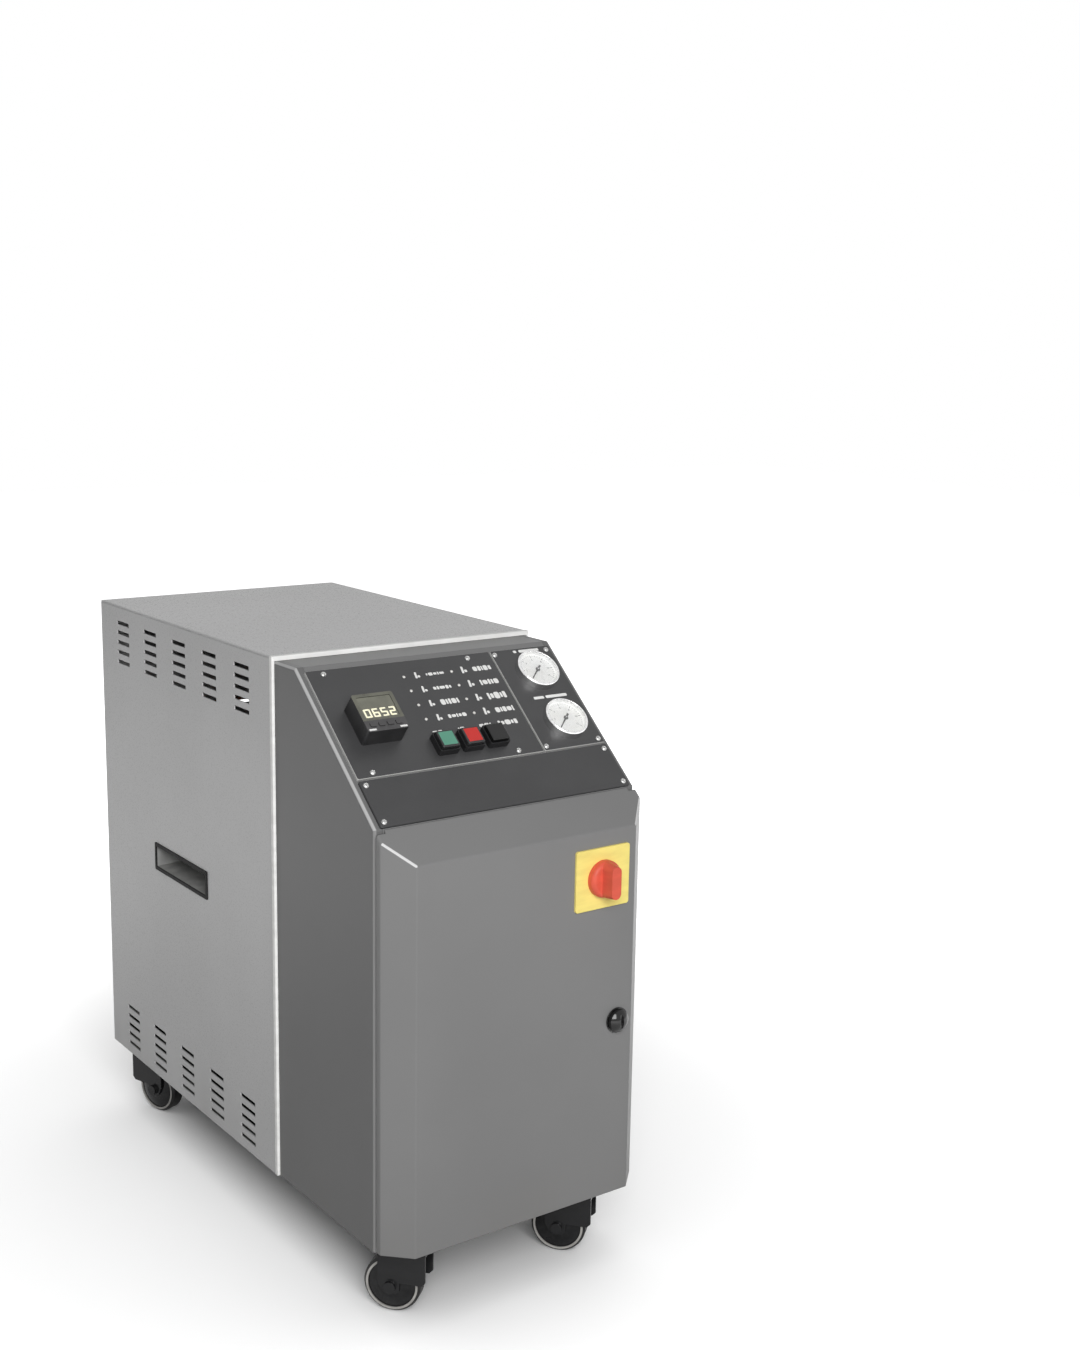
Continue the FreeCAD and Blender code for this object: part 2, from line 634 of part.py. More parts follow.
def make_lock_housing():
    """Escutcheon outside the door and barrel behind it."""
    barrel_end = 40.0
    housing = turned([(LOCK_SPINDLE_R + RUNNING_GAP, -2), (14, -2), (14, -0.8), (13.2, 0), (LOCK_BARREL_R, 0),
                      (LOCK_BARREL_R, barrel_end), (LOCK_SPINDLE_R + RUNNING_GAP, barrel_end)])
    return along_y(housing, V(LOCK_X, FRONT_Y, LOCK_Z))


def make_lock_knob():
    """Domed knob, spindle and cam of the quarter-turn lock. The cam hangs down when it is open."""
    knob = turned([(0, -11), cap_point(12, -6, -11), (12, -6), (12.5, -2.4), (0, -2.4)])
    slot = rounded_plate(4.0, 16.0, 1.9, -12, -8.5)
    spindle = Part.makeCylinder(LOCK_SPINDLE_R, 48, V(0, 0, -3))
    cam = rounded_plate(14, LOCK_CAM_LENGTH + 14, 6.9, 42, 45)
    cam = moved(cam, V(0, LOCK_CAM_LENGTH / 2, 0))
    return along_y(fused(knob.cut(slot), spindle, cam), V(LOCK_X, FRONT_Y, LOCK_Z))


# Console instruments

def make_controller():
    """Square panel controller: raised front with a recess and four keys, and its case behind."""
    size = CONTROLLER_SIZE
    front = PLATE_THICK + CONTROLLER_STAND
    bezel = rounded_plate(size, size, 2.5, PLATE_THICK, front)
    case = rounded_plate(size - 3.4, size - 3.4, 1.0, -CONTROLLER_DEPTH, PLATE_THICK)
    recess = moved(rounded_plate(40, 27, 1.5, front - 2, front + 1), V(0, 6.5, 0))
    body = fused(bezel, case).cut(recess)
    key = rounded_plate(7.5, 5.5, 1.2, front, front + 0.9)
    keys = [moved(key, V(x, -15.5, 0)) for x in (-15, -5, 5, 15)]
    return on_console(fused(body, *keys), *CONTROLLER_AT)


def make_controller_window():
    front = PLATE_THICK + CONTROLLER_STAND
    pane = moved(rounded_plate(39.8, 26.8, 1.4, front - 2, front - 0.6), V(0, 6.5, 0))
    return on_console(pane, *CONTROLLER_AT)


def make_button_bezels():
    """Square bezels with their round barrels behind the sheet."""
    rim, floor, depth = 8.0, 2.0, 24.0
    bezel = rounded_plate(BUTTON_BEZEL, BUTTON_BEZEL, 2.5, 0, rim)
    bezel = bezel.cut(rounded_plate(BUTTON_CAP + 0.8, BUTTON_CAP + 0.8, 1.6, floor, rim + 1))
    barrel = Part.makeCylinder(10.8, depth + PLATE_THICK, V(0, 0, -depth - PLATE_THICK))
    bore = Part.makeCylinder(4.0 + RUNNING_GAP, depth, V(0, 0, floor - depth + 1))
    housing = fused(bezel, barrel).cut(bore)
    return group([on_console(housing, x, BUTTON_UP, PLATE_THICK) for x in BUTTON_XS])


def make_button(x):
    """Square cap with a softened top and a round plunger."""
    cap = rounded_plate(BUTTON_CAP, BUTTON_CAP, 1.5, 6, 12.5)
    rim = [e for e in cap.Edges if all(abs(v.Z - 12.5) < 0.01 for v in e.Vertexes)]
    plunger = Part.makeCylinder(4.0, 20, V(0, 0, -13))
    return on_console(fused(cap.makeFillet(1.2, rim), plunger), x, BUTTON_UP, PLATE_THICK)


GAUGE_RIM_TOP = 13.0
GAUGE_DIAL_TOP = 8.0


def make_gauge_cases():
    """Bright cups with a rolled rim, a stem behind and a spindle through the dial."""
    rim_inner = GAUGE_R - 2.2
    back = -26.0
    cup = turned([(0, back), (GAUGE_BODY_R, back), (GAUGE_BODY_R, PLATE_THICK), (GAUGE_R, PLATE_THICK),
                  (GAUGE_R, GAUGE_RIM_TOP - 2), (GAUGE_R - 0.8, GAUGE_RIM_TOP - 0.5, 1),
                  (rim_inner, GAUGE_RIM_TOP), (rim_inner, GAUGE_DIAL_TOP - 1), (0, GAUGE_DIAL_TOP - 1)])
    stem = Part.makeCylinder(5, back - GAUGE_STEM_END, V(0, 0, GAUGE_STEM_END))
    spindle = Part.makeCylinder(0.8, 4, V(0, 0, GAUGE_DIAL_TOP - 1.5))
    case = fused(cup, stem, spindle)
    return group([on_console(case, GAUGE_X, up) for up in GAUGE_UPS])


def make_gauge_dials():
    hole_r, dial_r = 0.9, GAUGE_R - 2.3
    dial = turned([(hole_r, GAUGE_DIAL_TOP - 1), (dial_r, GAUGE_DIAL_TOP - 1),
                   (dial_r, GAUGE_DIAL_TOP), (hole_r, GAUGE_DIAL_TOP)])
    return group([on_console(dial, GAUGE_X, up) for up in GAUGE_UPS])


def make_gauge_lenses():
    lens_r = GAUGE_R - 2.3
    lens = turned([(0, 11.2), (lens_r, 11.2), (lens_r, 12.0), cap_point(lens_r, 12.0, 12.8), (0, 12.8)])
    return group([on_console(lens, GAUGE_X, up) for up in GAUGE_UPS])


def make_pointer(up):
    """Tapered needle with a counterweight tail, lying just above the dial."""
    bottom, thick = GAUGE_DIAL_TOP + 0.6, 0.7
    tail, tip, tail_half, tip_half = -7.0, 18.0, 1.3, 0.4
    blade = prism([V(tail, -tail_half, bottom), V(tip, -tip_half, bottom),
                   V(tip, tip_half, bottom), V(tail, tail_half, bottom)], V(0, 0, thick))
    hub = Part.makeCylinder(2.6, thick, V(0, 0, bottom))
    hole = Part.makeCylinder(0.8 + RUNNING_GAP, 5, V(0, 0, bottom - 1))
    needle = moved(fused(blade, hub).cut(hole), ORIGIN, Z_DIR, POINTER_DEG)
    return on_console(needle, GAUGE_X, up)


def make_status_lamps():
    lamp = turned([(0, 0), (LAMP_R, 0), (LAMP_R, 0.4), cap_point(LAMP_R, 0.4, 1.4), (0, 1.4)])
    places = [(x, LAMP_UP_FIRST + row * LAMP_PITCH) for row in range(LAMP_ROWS) for x in LAMP_XS]
    return group([on_console(lamp, x, up, PLATE_THICK) for x, up in places])


# Electrical space

ELECTRICAL_FRONT_Y = -132.0


def make_electrical_plate():
    """Mounting plate on four stand-offs in front of the bulkhead."""
    plate = block(-120, 120, ELECTRICAL_FRONT_Y, ELECTRICAL_FRONT_Y + 2.5, 130, 500)
    posts = []
    for x in (-105, 105):
        for z in (150, 480):
            posts.append(rod(5, V(x, ELECTRICAL_FRONT_Y + 2, z), V(x, SHELL_FRONT_Y - 4, z)))
    return fused(plate, *posts)


def make_contactors():
    """Three stepped contactor blocks side by side, with terminal pockets in their shelves."""
    width, middle_z, pocket_rise = 45.0, 390.0, 35.0
    steps = [(0, -41), (36, -41), (36, -29), (70, -29), (70, -18), (82, -18),
             (82, 18), (70, 18), (70, 29), (36, 29), (36, 41), (0, 41)]
    outline = [(ELECTRICAL_FRONT_Y - depth, middle_z + z) for depth, z in steps]
    units = []
    for centre in (-75.0, -20.0, 35.0):
        unit = side_prism(outline, centre - width / 2, centre + width / 2)
        pockets = []
        for x in (-14.0, 0.0, 14.0):
            for z in (middle_z - pocket_rise, middle_z + pocket_rise):
                mouth = V(centre + x, ELECTRICAL_FRONT_Y - 40, z)
                pockets.append(rod(4, mouth, mouth + Y_DIR * 10))
        units.append(unit.cut(pockets))
    return group(units)


def make_transformer():
    """Laminated core with the winding standing out of its window, on a foot plate."""
    y = ELECTRICAL_FRONT_Y
    foot = block(-5, 85, y - 3, y, 170, 260)
    core = block(2, 78, y - 70, y - 3, 180, 250)
    winding = moved(rounded_plate(50, 56, 8, 0, 96), V(40, y - 37, 167))
    return fused(foot, core, winding)


# Water circuit

def make_pump_motor():
    """Finned motor frame with end bell and feet, bored for the shaft."""
    length = MOTOR_REAR_Y - MOTOR_FRONT_Y
    fin_pitch, fin_depth = 12.0, 5.0
    profile = [(0, 0), (MOTOR_R - 14, 0), (MOTOR_R - 4, 6, 1), (MOTOR_R, 16), (MOTOR_R, 30)]
    station = 34.0
    while station + fin_pitch < length - 16:
        profile += [(MOTOR_R - fin_depth, station), (MOTOR_R - fin_depth, station + 6),
                    (MOTOR_R, station + 8), (MOTOR_R, station + fin_pitch - 2)]
        station += fin_pitch
    profile += [(MOTOR_R - fin_depth, length - 14), (MOTOR_R + 4, length - 12),
                (MOTOR_R + 4, length), (0, length)]
    frame = along_y(turned(profile), V(PUMP_X, MOTOR_FRONT_Y, PUMP_Z))
    feet = []
    for sign in (-1, 1):
        x = PUMP_X + sign * 36
        feet.append(block(x - 9, x + 9, -40, 40, BOTTOM_Z + 2.5, PUMP_Z - 40))
    bore_start, bore_end = V(PUMP_X, MOTOR_FRONT_Y + 12, PUMP_Z), V(PUMP_X, MOTOR_REAR_Y + 1, PUMP_Z)
    return fused(frame, *feet).cut(rod(SHAFT_R + RUNNING_GAP, bore_start, bore_end))


CASING_FRONT_Y = MOTOR_REAR_Y
SUCTION_END_Y = 180.0
DISCHARGE_X = PUMP_X + 45.0
DISCHARGE_TOP_Z = 292.0


def make_pump_casing():
    """Volute casing with a suction nozzle to the rear and a discharge nozzle upward."""
    length = SUCTION_END_Y - CASING_FRONT_Y
    nozzle_r = PROCESS_PIPE_R + 5
    outer = turned([(0, 0), (MOTOR_R + 4, 0), (MOTOR_R + 4, 8), (40, 12), (72, 20), (76, 44, 1), (72, 66),
                    (32, 80), (nozzle_r, 82), (nozzle_r, length), (0, length)])
    hollow = turned([(0, 28), (60, 28), (60, 60), (20, 72), (PROCESS_BORE_R, 76),
                     (PROCESS_BORE_R, length + 1), (0, length + 1)])
    bore = Part.makeCylinder(SHAFT_R + RUNNING_GAP, 40, V(0, 0, -1))
    place = V(PUMP_X, CASING_FRONT_Y, PUMP_Z)
    body = along_y(outer, place)
    low, top = V(DISCHARGE_X, PUMP_MID_Y, PUMP_Z), V(DISCHARGE_X, PUMP_MID_Y, DISCHARGE_TOP_Z)
    nozzle = rod(PROCESS_PIPE_R + 4, low, top)
    cuts = [along_y(hollow, place), along_y(bore, place), rod(PROCESS_BORE_R, low, top + Z_DIR)]
    return fused(body, nozzle).cut(cuts)


def make_pump_rotor():
    """Shaft with a closed impeller: two shrouds and swept vanes between them."""
    vane_count, vane_lean, vane_inner_r, impeller_r = 6, 30.0, 16.0, 52.0
    shaft_end = 66.0
    bounds = Part.makeCylinder(impeller_r - 1, 60)
    shaft = Part.makeCylinder(SHAFT_R, shaft_end + 145, V(0, 0, -145))
    back = Part.makeCylinder(impeller_r, 4, V(0, 0, 34))
    eye = turned([(18, 52), (impeller_r, 48), (impeller_r, 51), (22, 56), (18, 56)])
    hub = turned([(0, 34), (18, 34), (14, 50, 1), (SHAFT_R + 2, 62), (0, 62)])
    vanes = []
    for i in range(vane_count):
        vane = moved(block(0, impeller_r, -1.5, 1.5, 37, 49.5), V(vane_inner_r, 0, 0), Z_DIR, vane_lean)
        vanes.append(moved(vane.common(bounds), ORIGIN, Z_DIR, 360 / vane_count * i))
    return along_y(fused(shaft, back, eye, hub, *vanes), V(PUMP_X, CASING_FRONT_Y, PUMP_Z))


TANK_INLET_Z = 345.0
TANK_OUTLET_Z = 420.0
RELIEF_Y = 212.0
RETURN_TAP_Y = 300.0
SUPPLY_FALL_Y = 270.0
SUPPLY_TAP_Z = 320.0
TAP_R = 4.0
TAP_REACH = 19.0


def make_heater_tank():
    """Vertical vessel with a dished bottom, a bolting flange on top, a skirt and two side branches."""
    flange_z = TANK_TOP_Z - 12
    inside = TANK_R - TANK_WALL
    dish_low, dish_edge = 150.0, 178.0
    shell = turned([(0, dish_low), cap_point(TANK_R, dish_edge, dish_low), (TANK_R, dish_edge),
                    (TANK_R, flange_z), (TANK_FLANGE_R, flange_z), (TANK_FLANGE_R, TANK_TOP_Z),
                    (0, TANK_TOP_Z)])
    low, edge, open_top = dish_low + TANK_WALL, dish_edge + 1, TANK_TOP_Z + 1
    hollow = turned([(0, low), cap_point(inside, edge, low), (inside, edge), (inside, open_top),
                     (0, open_top)])
    skirt_r, skirt_low = TANK_R - 9, BOTTOM_Z + 2.5
    skirt = turned([(skirt_r - TANK_WALL, skirt_low), (skirt_r, skirt_low),
                    (skirt_r, dish_edge), (skirt_r - TANK_WALL, dish_edge)])
    branch_r, reach = PROCESS_PIPE_R + 3, TANK_R + TANK_BRANCH
    branch_in = rod(branch_r, V(0, 0, TANK_INLET_Z), V(-reach, 0, TANK_INLET_Z))
    branch_out = rod(branch_r, V(0, 0, TANK_OUTLET_Z), V(0, reach, TANK_OUTLET_Z))
    bores = [rod(PROCESS_BORE_R, V(0, 0, TANK_INLET_Z), V(-reach - 1, 0, TANK_INLET_Z)),
             rod(PROCESS_BORE_R, V(0, 0, TANK_OUTLET_Z), V(0, reach + 1, TANK_OUTLET_Z))]
    vessel = fused(shell, skirt.cut(shell), branch_in, branch_out).cut([hollow] + bores)
    return moved(vessel, V(TANK_X, TANK_Y, 0))


def make_immersion_heater():
    """Heater flange with three hairpin elements below, a terminal cap above and eight bolt heads."""
    flange_top = TANK_TOP_Z + 10
    pitch_r, element_r, element_low, spread = 30.0, 4.0, 210.0, 14.0
    cap_r = 50.0
    flange = Part.makeCylinder(TANK_FLANGE_R, 10, V(0, 0, TANK_TOP_Z))
    cap = turned([(0, flange_top), (cap_r, flange_top), (cap_r, flange_top + 36),
                  (cap_r - 3, flange_top + 44, 1), (cap_r - 12, flange_top + 48), (0, flange_top + 48)])
    hairpins = []
    for i in range(3):
        path = [V(pitch_r, -spread, TANK_TOP_Z + 2), V(pitch_r, -spread, element_low),
                V(pitch_r, spread, element_low), V(pitch_r, spread, TANK_TOP_Z + 2)]
        hairpins.append(moved(swept(path, element_r, spread - 0.5), ORIGIN, Z_DIR, 120 * i))
    bolts = []
    for i in range(8):
        head = Part.makeCylinder(6.0, 6, V(TANK_FLANGE_R - 10, 0, flange_top))
        bolts.append(moved(head, ORIGIN, Z_DIR, 45 * i + 22.5))
    return moved(fused(flange, cap, *hairpins, *bolts), V(TANK_X, TANK_Y, 0))


def with_coupling(bar, x, z, pipe_r, thread_r, thread_depth):
    """Pipe bar with a coupling behind the rear panel, and the cutter for its threaded socket."""
    coupling = rod(pipe_r + 5.5, V(x, REAR_Y + 1, z), V(x, PORT_END_Y, z))
    socket = rod(thread_r, V(x, PORT_END_Y - thread_depth, z), V(x, PORT_END_Y + 1, z))
    return fused(bar, coupling), socket


def make_process_pipes():
    """Return pipe to the pump suction, pump discharge to the tank, and tank outlet to the supply port."""
    start, end = V(PUMP_X, SUCTION_END_Y, PROCESS_PORT_Z), V(PUMP_X, PORT_END_Y - 2, PROCESS_PORT_Z)
    back, socket = with_coupling(rod(PROCESS_PIPE_R, start, end), PUMP_X, PROCESS_PORT_Z, PROCESS_PIPE_R,
                                 PROCESS_THREAD_R, PROCESS_THREAD_DEPTH)
    return_tap = V(PUMP_X, RETURN_TAP_Y, PROCESS_PORT_Z)
    back = fused(back, rod(TAP_R, return_tap, return_tap + Z_DIR * TAP_REACH))
    return_pipe = back.cut([rod(PROCESS_BORE_R, start - Y_DIR, end), socket])
    rise = [V(DISCHARGE_X, TANK_Y, DISCHARGE_TOP_Z), V(DISCHARGE_X, TANK_Y, TANK_INLET_Z),
            V(TANK_X - TANK_R - TANK_BRANCH, TANK_Y, TANK_INLET_Z)]
    bend, wide_bend = 24.0, 40.0
    discharge = swept(rise, PROCESS_PIPE_R, bend).cut(swept(rise, PROCESS_BORE_R, bend))
    fall = [V(TANK_X, TANK_Y + TANK_R + TANK_BRANCH, TANK_OUTLET_Z), V(TANK_X, SUPPLY_FALL_Y, TANK_OUTLET_Z),
            V(TANK_X, SUPPLY_FALL_Y, PROCESS_PORT_Z), V(TANK_X, PORT_END_Y - 2, PROCESS_PORT_Z)]
    relief_tap = V(TANK_X, RELIEF_Y, TANK_OUTLET_Z)
    supply_tap = V(TANK_X, SUPPLY_FALL_Y, SUPPLY_TAP_Z)
    bar = fused(swept(fall, PROCESS_PIPE_R, wide_bend), rod(10, relief_tap, relief_tap + Z_DIR * TAP_REACH),
                rod(TAP_R, supply_tap, supply_tap + Y_DIR * TAP_REACH))
    front, socket = with_coupling(bar, TANK_X, PROCESS_PORT_Z, PROCESS_PIPE_R,
                                  PROCESS_THREAD_R, PROCESS_THREAD_DEPTH)
    supply_pipe = front.cut([swept(fall, PROCESS_BORE_R, wide_bend), socket])
    return group([return_pipe, discharge, supply_pipe])


VALVE_FRONT_Y = 285.0
VALVE_REAR_Y = 335.0


def make_water_pipes():
    """Cooling water inlet, and the drain in two lengths either side of the solenoid valve."""
    bend, tight_bend = 30.0, 20.0
    inlet_y, drop_y = 235.0, 240.0
    inlet_path = [V(COOLING_PORT_X, PORT_END_Y - 2, WATER_PORT_Z), V(COOLING_PORT_X, inlet_y, WATER_PORT_Z),
                  V(COOLING_PORT_X, inlet_y, PROCESS_PORT_Z),
                  V(PUMP_X - PROCESS_PIPE_R, inlet_y, PROCESS_PORT_Z)]
    bar, socket = with_coupling(swept(inlet_path, WATER_PIPE_R, tight_bend), COOLING_PORT_X, WATER_PORT_Z,
                                WATER_PIPE_R, WATER_THREAD_R, WATER_THREAD_DEPTH)
    joint_start, joint_end = V(PUMP_X, SUCTION_END_Y, PROCESS_PORT_Z), V(PUMP_X, PORT_END_Y, PROCESS_PORT_Z)
    joint = rod(PROCESS_PIPE_R, joint_start, joint_end)
    inlet = bar.cut([swept(inlet_path, WATER_BORE_R, tight_bend), socket, joint])
    start, end = V(DRAIN_PORT_X, VALVE_REAR_Y, WATER_PORT_Z), V(DRAIN_PORT_X, PORT_END_Y - 2, WATER_PORT_Z)
    bar, socket = with_coupling(rod(WATER_PIPE_R, start, end), DRAIN_PORT_X, WATER_PORT_Z, WATER_PIPE_R,
                                WATER_THREAD_R, WATER_THREAD_DEPTH)
    outlet = bar.cut([rod(WATER_BORE_R, start - Y_DIR, end), socket])
    drop_path = [V(DRAIN_PORT_X, VALVE_FRONT_Y, WATER_PORT_Z), V(DRAIN_PORT_X, drop_y, WATER_PORT_Z),
                 V(DRAIN_PORT_X, drop_y, PROCESS_PORT_Z), V(PUMP_X + PROCESS_PIPE_R, drop_y, PROCESS_PORT_Z)]
    drop = swept(drop_path, WATER_PIPE_R, bend).cut([swept(drop_path, WATER_BORE_R, bend), joint])
    return group([inlet, outlet, drop])


def make_solenoid_valve():
    """Brass valve body in the drain line with its coil on top."""
    mid_y = (VALVE_FRONT_Y + VALVE_REAR_Y) / 2
    body = rod(19, V(DRAIN_PORT_X, VALVE_FRONT_Y, WATER_PORT_Z), V(DRAIN_PORT_X, VALVE_REAR_Y, WATER_PORT_Z))
    bonnet = Part.makeCylinder(15, 30, V(DRAIN_PORT_X, mid_y, WATER_PORT_Z))
    coil = moved(rounded_plate(34, 40, 5, 0, 42), V(DRAIN_PORT_X, mid_y, WATER_PORT_Z + 28))
    stem = Part.makeCylinder(6, 52, V(DRAIN_PORT_X, mid_y, WATER_PORT_Z + 26))
    bore_start = V(DRAIN_PORT_X, VALVE_FRONT_Y - 1, WATER_PORT_Z)
    bore = rod(WATER_BORE_R, bore_start, bore_start + Y_DIR * 17)
    return fused(body, bonnet, coil, stem).cut(bore)


def make_relief_valve():
    """Spring-loaded safety valve standing on the tank outlet."""
    valve = turned([(0, 0), (7, 0), (7, 10), (12, 12), (12, 34), (9, 38), (9, 52),
                    cap_point(9, 52, 57), (0, 57)])
    spout = rod(6, V(0, 0, 22), V(24, 0, 22))
    return moved(fused(valve, spout), V(TANK_X, RELIEF_Y, TANK_OUTLET_Z + TAP_REACH))


def gauge_line_heights():
    """Heights at which the two gauge lines leave their stems, top gauge first."""
    return [console_point(GAUGE_X, up, GAUGE_STEM_END - 24).z for up in GAUGE_UPS]


def make_gauge_lines():
    """Thin copper lines from the gauge stems to the supply and return pipes."""
    bend = 10.0
    drop_y = SUPPLY_FALL_Y + TAP_REACH + 2 * bend
    ends = ([V(TANK_X, drop_y, SUPPLY_TAP_Z), V(TANK_X, SUPPLY_FALL_Y + TAP_REACH, SUPPLY_TAP_Z)],
            [V(PUMP_X, RETURN_TAP_Y, PROCESS_PORT_Z + TAP_REACH)])
    lines = []
    for up, end in zip(GAUGE_UPS, ends):
        stem = console_point(GAUGE_X, up, GAUGE_STEM_END)
        knee = console_point(GAUGE_X, up, GAUGE_STEM_END - 24)
        corner = V(GAUGE_X, end[0].y, knee.z)
        path = [stem, knee, corner, V(end[0].x, end[0].y, knee.z)] + end
        lines.append(swept(path, GAUGE_LINE_R, bend))
    return group(lines)


def make_cable_gland():
    """Cable gland for the mains lead: lock nut inside, body and dome nut outside."""
    neck_r, inner_end, outer_end = GLAND_BORE_R + 3.8, -10.0, 24.5
    gland = turned([(GLAND_BORE_R, inner_end), (16, inner_end), (16, -SHEET), (neck_r, -SHEET), (neck_r, 0),
                    (17, 0), (17, 8), (14, 9), (14, 18), (12.5, 22, 1), (10, outer_end),
                    (GLAND_BORE_R, outer_end)])
    return along_y(gland, V(GLAND_X, REAR_Y, GLAND_Z))


# Casters

CASTER_ROWS = {"front": (*FRONT_CASTER_AT, FRONT_SWIVEL_DEG), "rear": (*REAR_CASTER_AT, REAR_SWIVEL_DEG)}
CASTERS = {}
for row, (x, y, swivel) in CASTER_ROWS.items():
    CASTERS[row + "_left"] = (-x, y, swivel)
    CASTERS[row + "_right"] = (x, y, swivel)
RACE_TOP_Z = CASTER_HEIGHT - 6.5


def make_caster_plates():
    """Top plates with the swivel race and kingpin."""
    plate = rounded_plate(CASTER_PLATE, CASTER_PLATE, 6, CASTER_HEIGHT - 3, CASTER_HEIGHT)
    race = Part.makeCylinder(RACE_R, 3.2, V(0, 0, CASTER_HEIGHT - 6))
    kingpin = Part.makeCylinder(KINGPIN_R, 16, V(0, 0, CASTER_HEIGHT - 18.5))
    caster_top = fused(plate, race, kingpin)
    return group([moved(caster_top, V(x, y, 0)) for x, y, swivel in CASTERS.values()])


def wheel_axis_cylinder(radius, x0, x1):
    centre = V(x0, -CASTER_TRAIL, WHEEL_R)
    return rod(radius, centre, centre + X_DIR * (x1 - x0))


def make_caster_hood():
    """Fork of one caster: race, crown, two broad legs with a lobe at the axle, and the bolt with its nuts."""
    crown_low, crown_front, crown_rear = FORK_TOP_Z - 4, -36.0, 16.0
    skirt_z, skirt_cut = WHEEL_R + 5, 4.0
    lobe_z, lobe_half, lobe_cut = WHEEL_R - 8, 10.0, 4.0
    lobe_front, lobe_rear = -CASTER_TRAIL - lobe_half, -CASTER_TRAIL + lobe_half
    leg_outline = [(crown_rear, FORK_TOP_Z), (crown_rear, skirt_z + skirt_cut),
                   (crown_rear - skirt_cut, skirt_z), (lobe_rear, skirt_z),
                   (lobe_rear, lobe_z + lobe_cut), (lobe_rear - lobe_cut, lobe_z),
                   (lobe_front + lobe_cut, lobe_z), (lobe_front, lobe_z + lobe_cut),
                   (crown_front, skirt_z), (crown_front, FORK_TOP_Z)]
    legs = [side_prism(leg_outline, FORK_INNER, FORK_OUTER),
            side_prism(leg_outline, -FORK_OUTER, -FORK_INNER)]
    crown = block(-FORK_OUTER, FORK_OUTER, crown_front, crown_rear, crown_low, FORK_TOP_Z)
    race = Part.makeCylinder(RACE_R, RACE_TOP_Z - crown_low, V(0, 0, crown_low))
    bolt = wheel_axis_cylinder(AXLE_R, -AXLE_NUT_END, AXLE_NUT_END)
    nuts = [wheel_axis_cylinder(AXLE_NUT_R, FORK_INNER + 1, AXLE_NUT_END),
            wheel_axis_cylinder(AXLE_NUT_R, -AXLE_NUT_END, -FORK_INNER - 1)]
    bore = Part.makeCylinder(KINGPIN_R + RUNNING_GAP, 20, V(0, 0, crown_low - 2))
    return fused(crown, race, bolt, *legs, *nuts).cut(bore)


def make_caster_wheels():
    """One wheel with domed faces, a raised ring and a rounded tread, bored for the axle bolt."""
    bore_r, hub_r, dome_r, rim_r = AXLE_R + RUNNING_GAP, 8.0, 26.0, 28.4
    dome_edge, dome_mid, tread_half = 8.5, 11.1, 7.0
    half_profile = [(bore_r, HUB_HALF), (hub_r, HUB_HALF), ((hub_r + dome_r) / 2, dome_mid, 1),
                    (dome_r, dome_edge), (dome_r, RIM_HALF), (rim_r, RIM_HALF), (WHEEL_R, tread_half)]
    other_half = [(p[0], -p[1], *p[2:]) for p in reversed(half_profile)]
    wheel = turned(half_profile + other_half)
    return moved(wheel, V(0, -CASTER_TRAIL, WHEEL_R), Y_DIR, 90)


# Write every piece

left_side = make_side_panel()
left_grip = make_hand_grip()
left_cheek = make_cheek()
caster_hood = make_caster_hood()
caster_wheels = make_caster_wheels()

pieces = {
    "base_pan": make_base_pan(),
    "left_side_panel": left_side,
    "right_side_panel": mirrored(left_side),
    "left_hand_grip": left_grip,
    "right_hand_grip": mirrored(left_grip),
    "top_cover": make_top_cover(),
    "edge_trim": make_edge_trim(),
    "rear_panel": make_rear_panel(),
    "left_cheek": left_cheek,
    "right_cheek": mirrored(left_cheek),
    "console_bed": make_console_bed(),
    "control_plate": make_control_plate(),
    "gauge_plate": make_gauge_plate(),
    "lower_plate": make_lower_plate(),
    "plate_screws": make_plate_screws(),
    "bulkhead": make_bulkhead(),
    "front_door": make_front_door(),
    "frame_hinges": make_frame_hinges(),
    "door_ears": make_door_ears(),
    "hinge_pins": make_hinge_pins(),
    "switch_plate": make_switch_plate(),
    "switch_handle": make_switch_handle(),
    "switch_body": make_switch_body(),
    "lock_housing": make_lock_housing(),
    "lock_knob": make_lock_knob(),
    "temperature_controller": make_controller(),
    "controller_window": make_controller_window(),
    "button_bezels": make_button_bezels(),
    "green_button": make_button(BUTTON_XS[0]),
    "red_button": make_button(BUTTON_XS[1]),
    "black_button": make_button(BUTTON_XS[2]),
    "gauge_cases": make_gauge_cases(),
    "gauge_dials": make_gauge_dials(),
    "gauge_lenses": make_gauge_lenses(),
    "upper_gauge_pointer": make_pointer(GAUGE_UPS[0]),
    "lower_gauge_pointer": make_pointer(GAUGE_UPS[1]),
    "status_lamps": make_status_lamps(),
    "electrical_plate": make_electrical_plate(),
    "contactors": make_contactors(),
    "control_transformer": make_transformer(),
    "pump_motor": make_pump_motor(),
    "pump_casing": make_pump_casing(),
    "pump_rotor": make_pump_rotor(),
    "heater_tank": make_heater_tank(),
    "immersion_heater": make_immersion_heater(),
    "process_pipes": make_process_pipes(),
    "water_pipes": make_water_pipes(),
    "solenoid_valve": make_solenoid_valve(),
    "relief_valve": make_relief_valve(),
    "gauge_lines": make_gauge_lines(),
    "cable_gland": make_cable_gland(),
    "caster_plates": make_caster_plates(),
}
for name, (x, y, swivel) in CASTERS.items():
    pieces["caster_hood_" + name] = moved(caster_hood, V(x, y, 0), Z_DIR, swivel)
    pieces["caster_wheels_" + name] = moved(caster_wheels, V(x, y, 0), Z_DIR, swivel)

for name, shape in pieces.items():
    shape.exportStep("parts/" + name + ".step")
print(len(pieces), "pieces written")
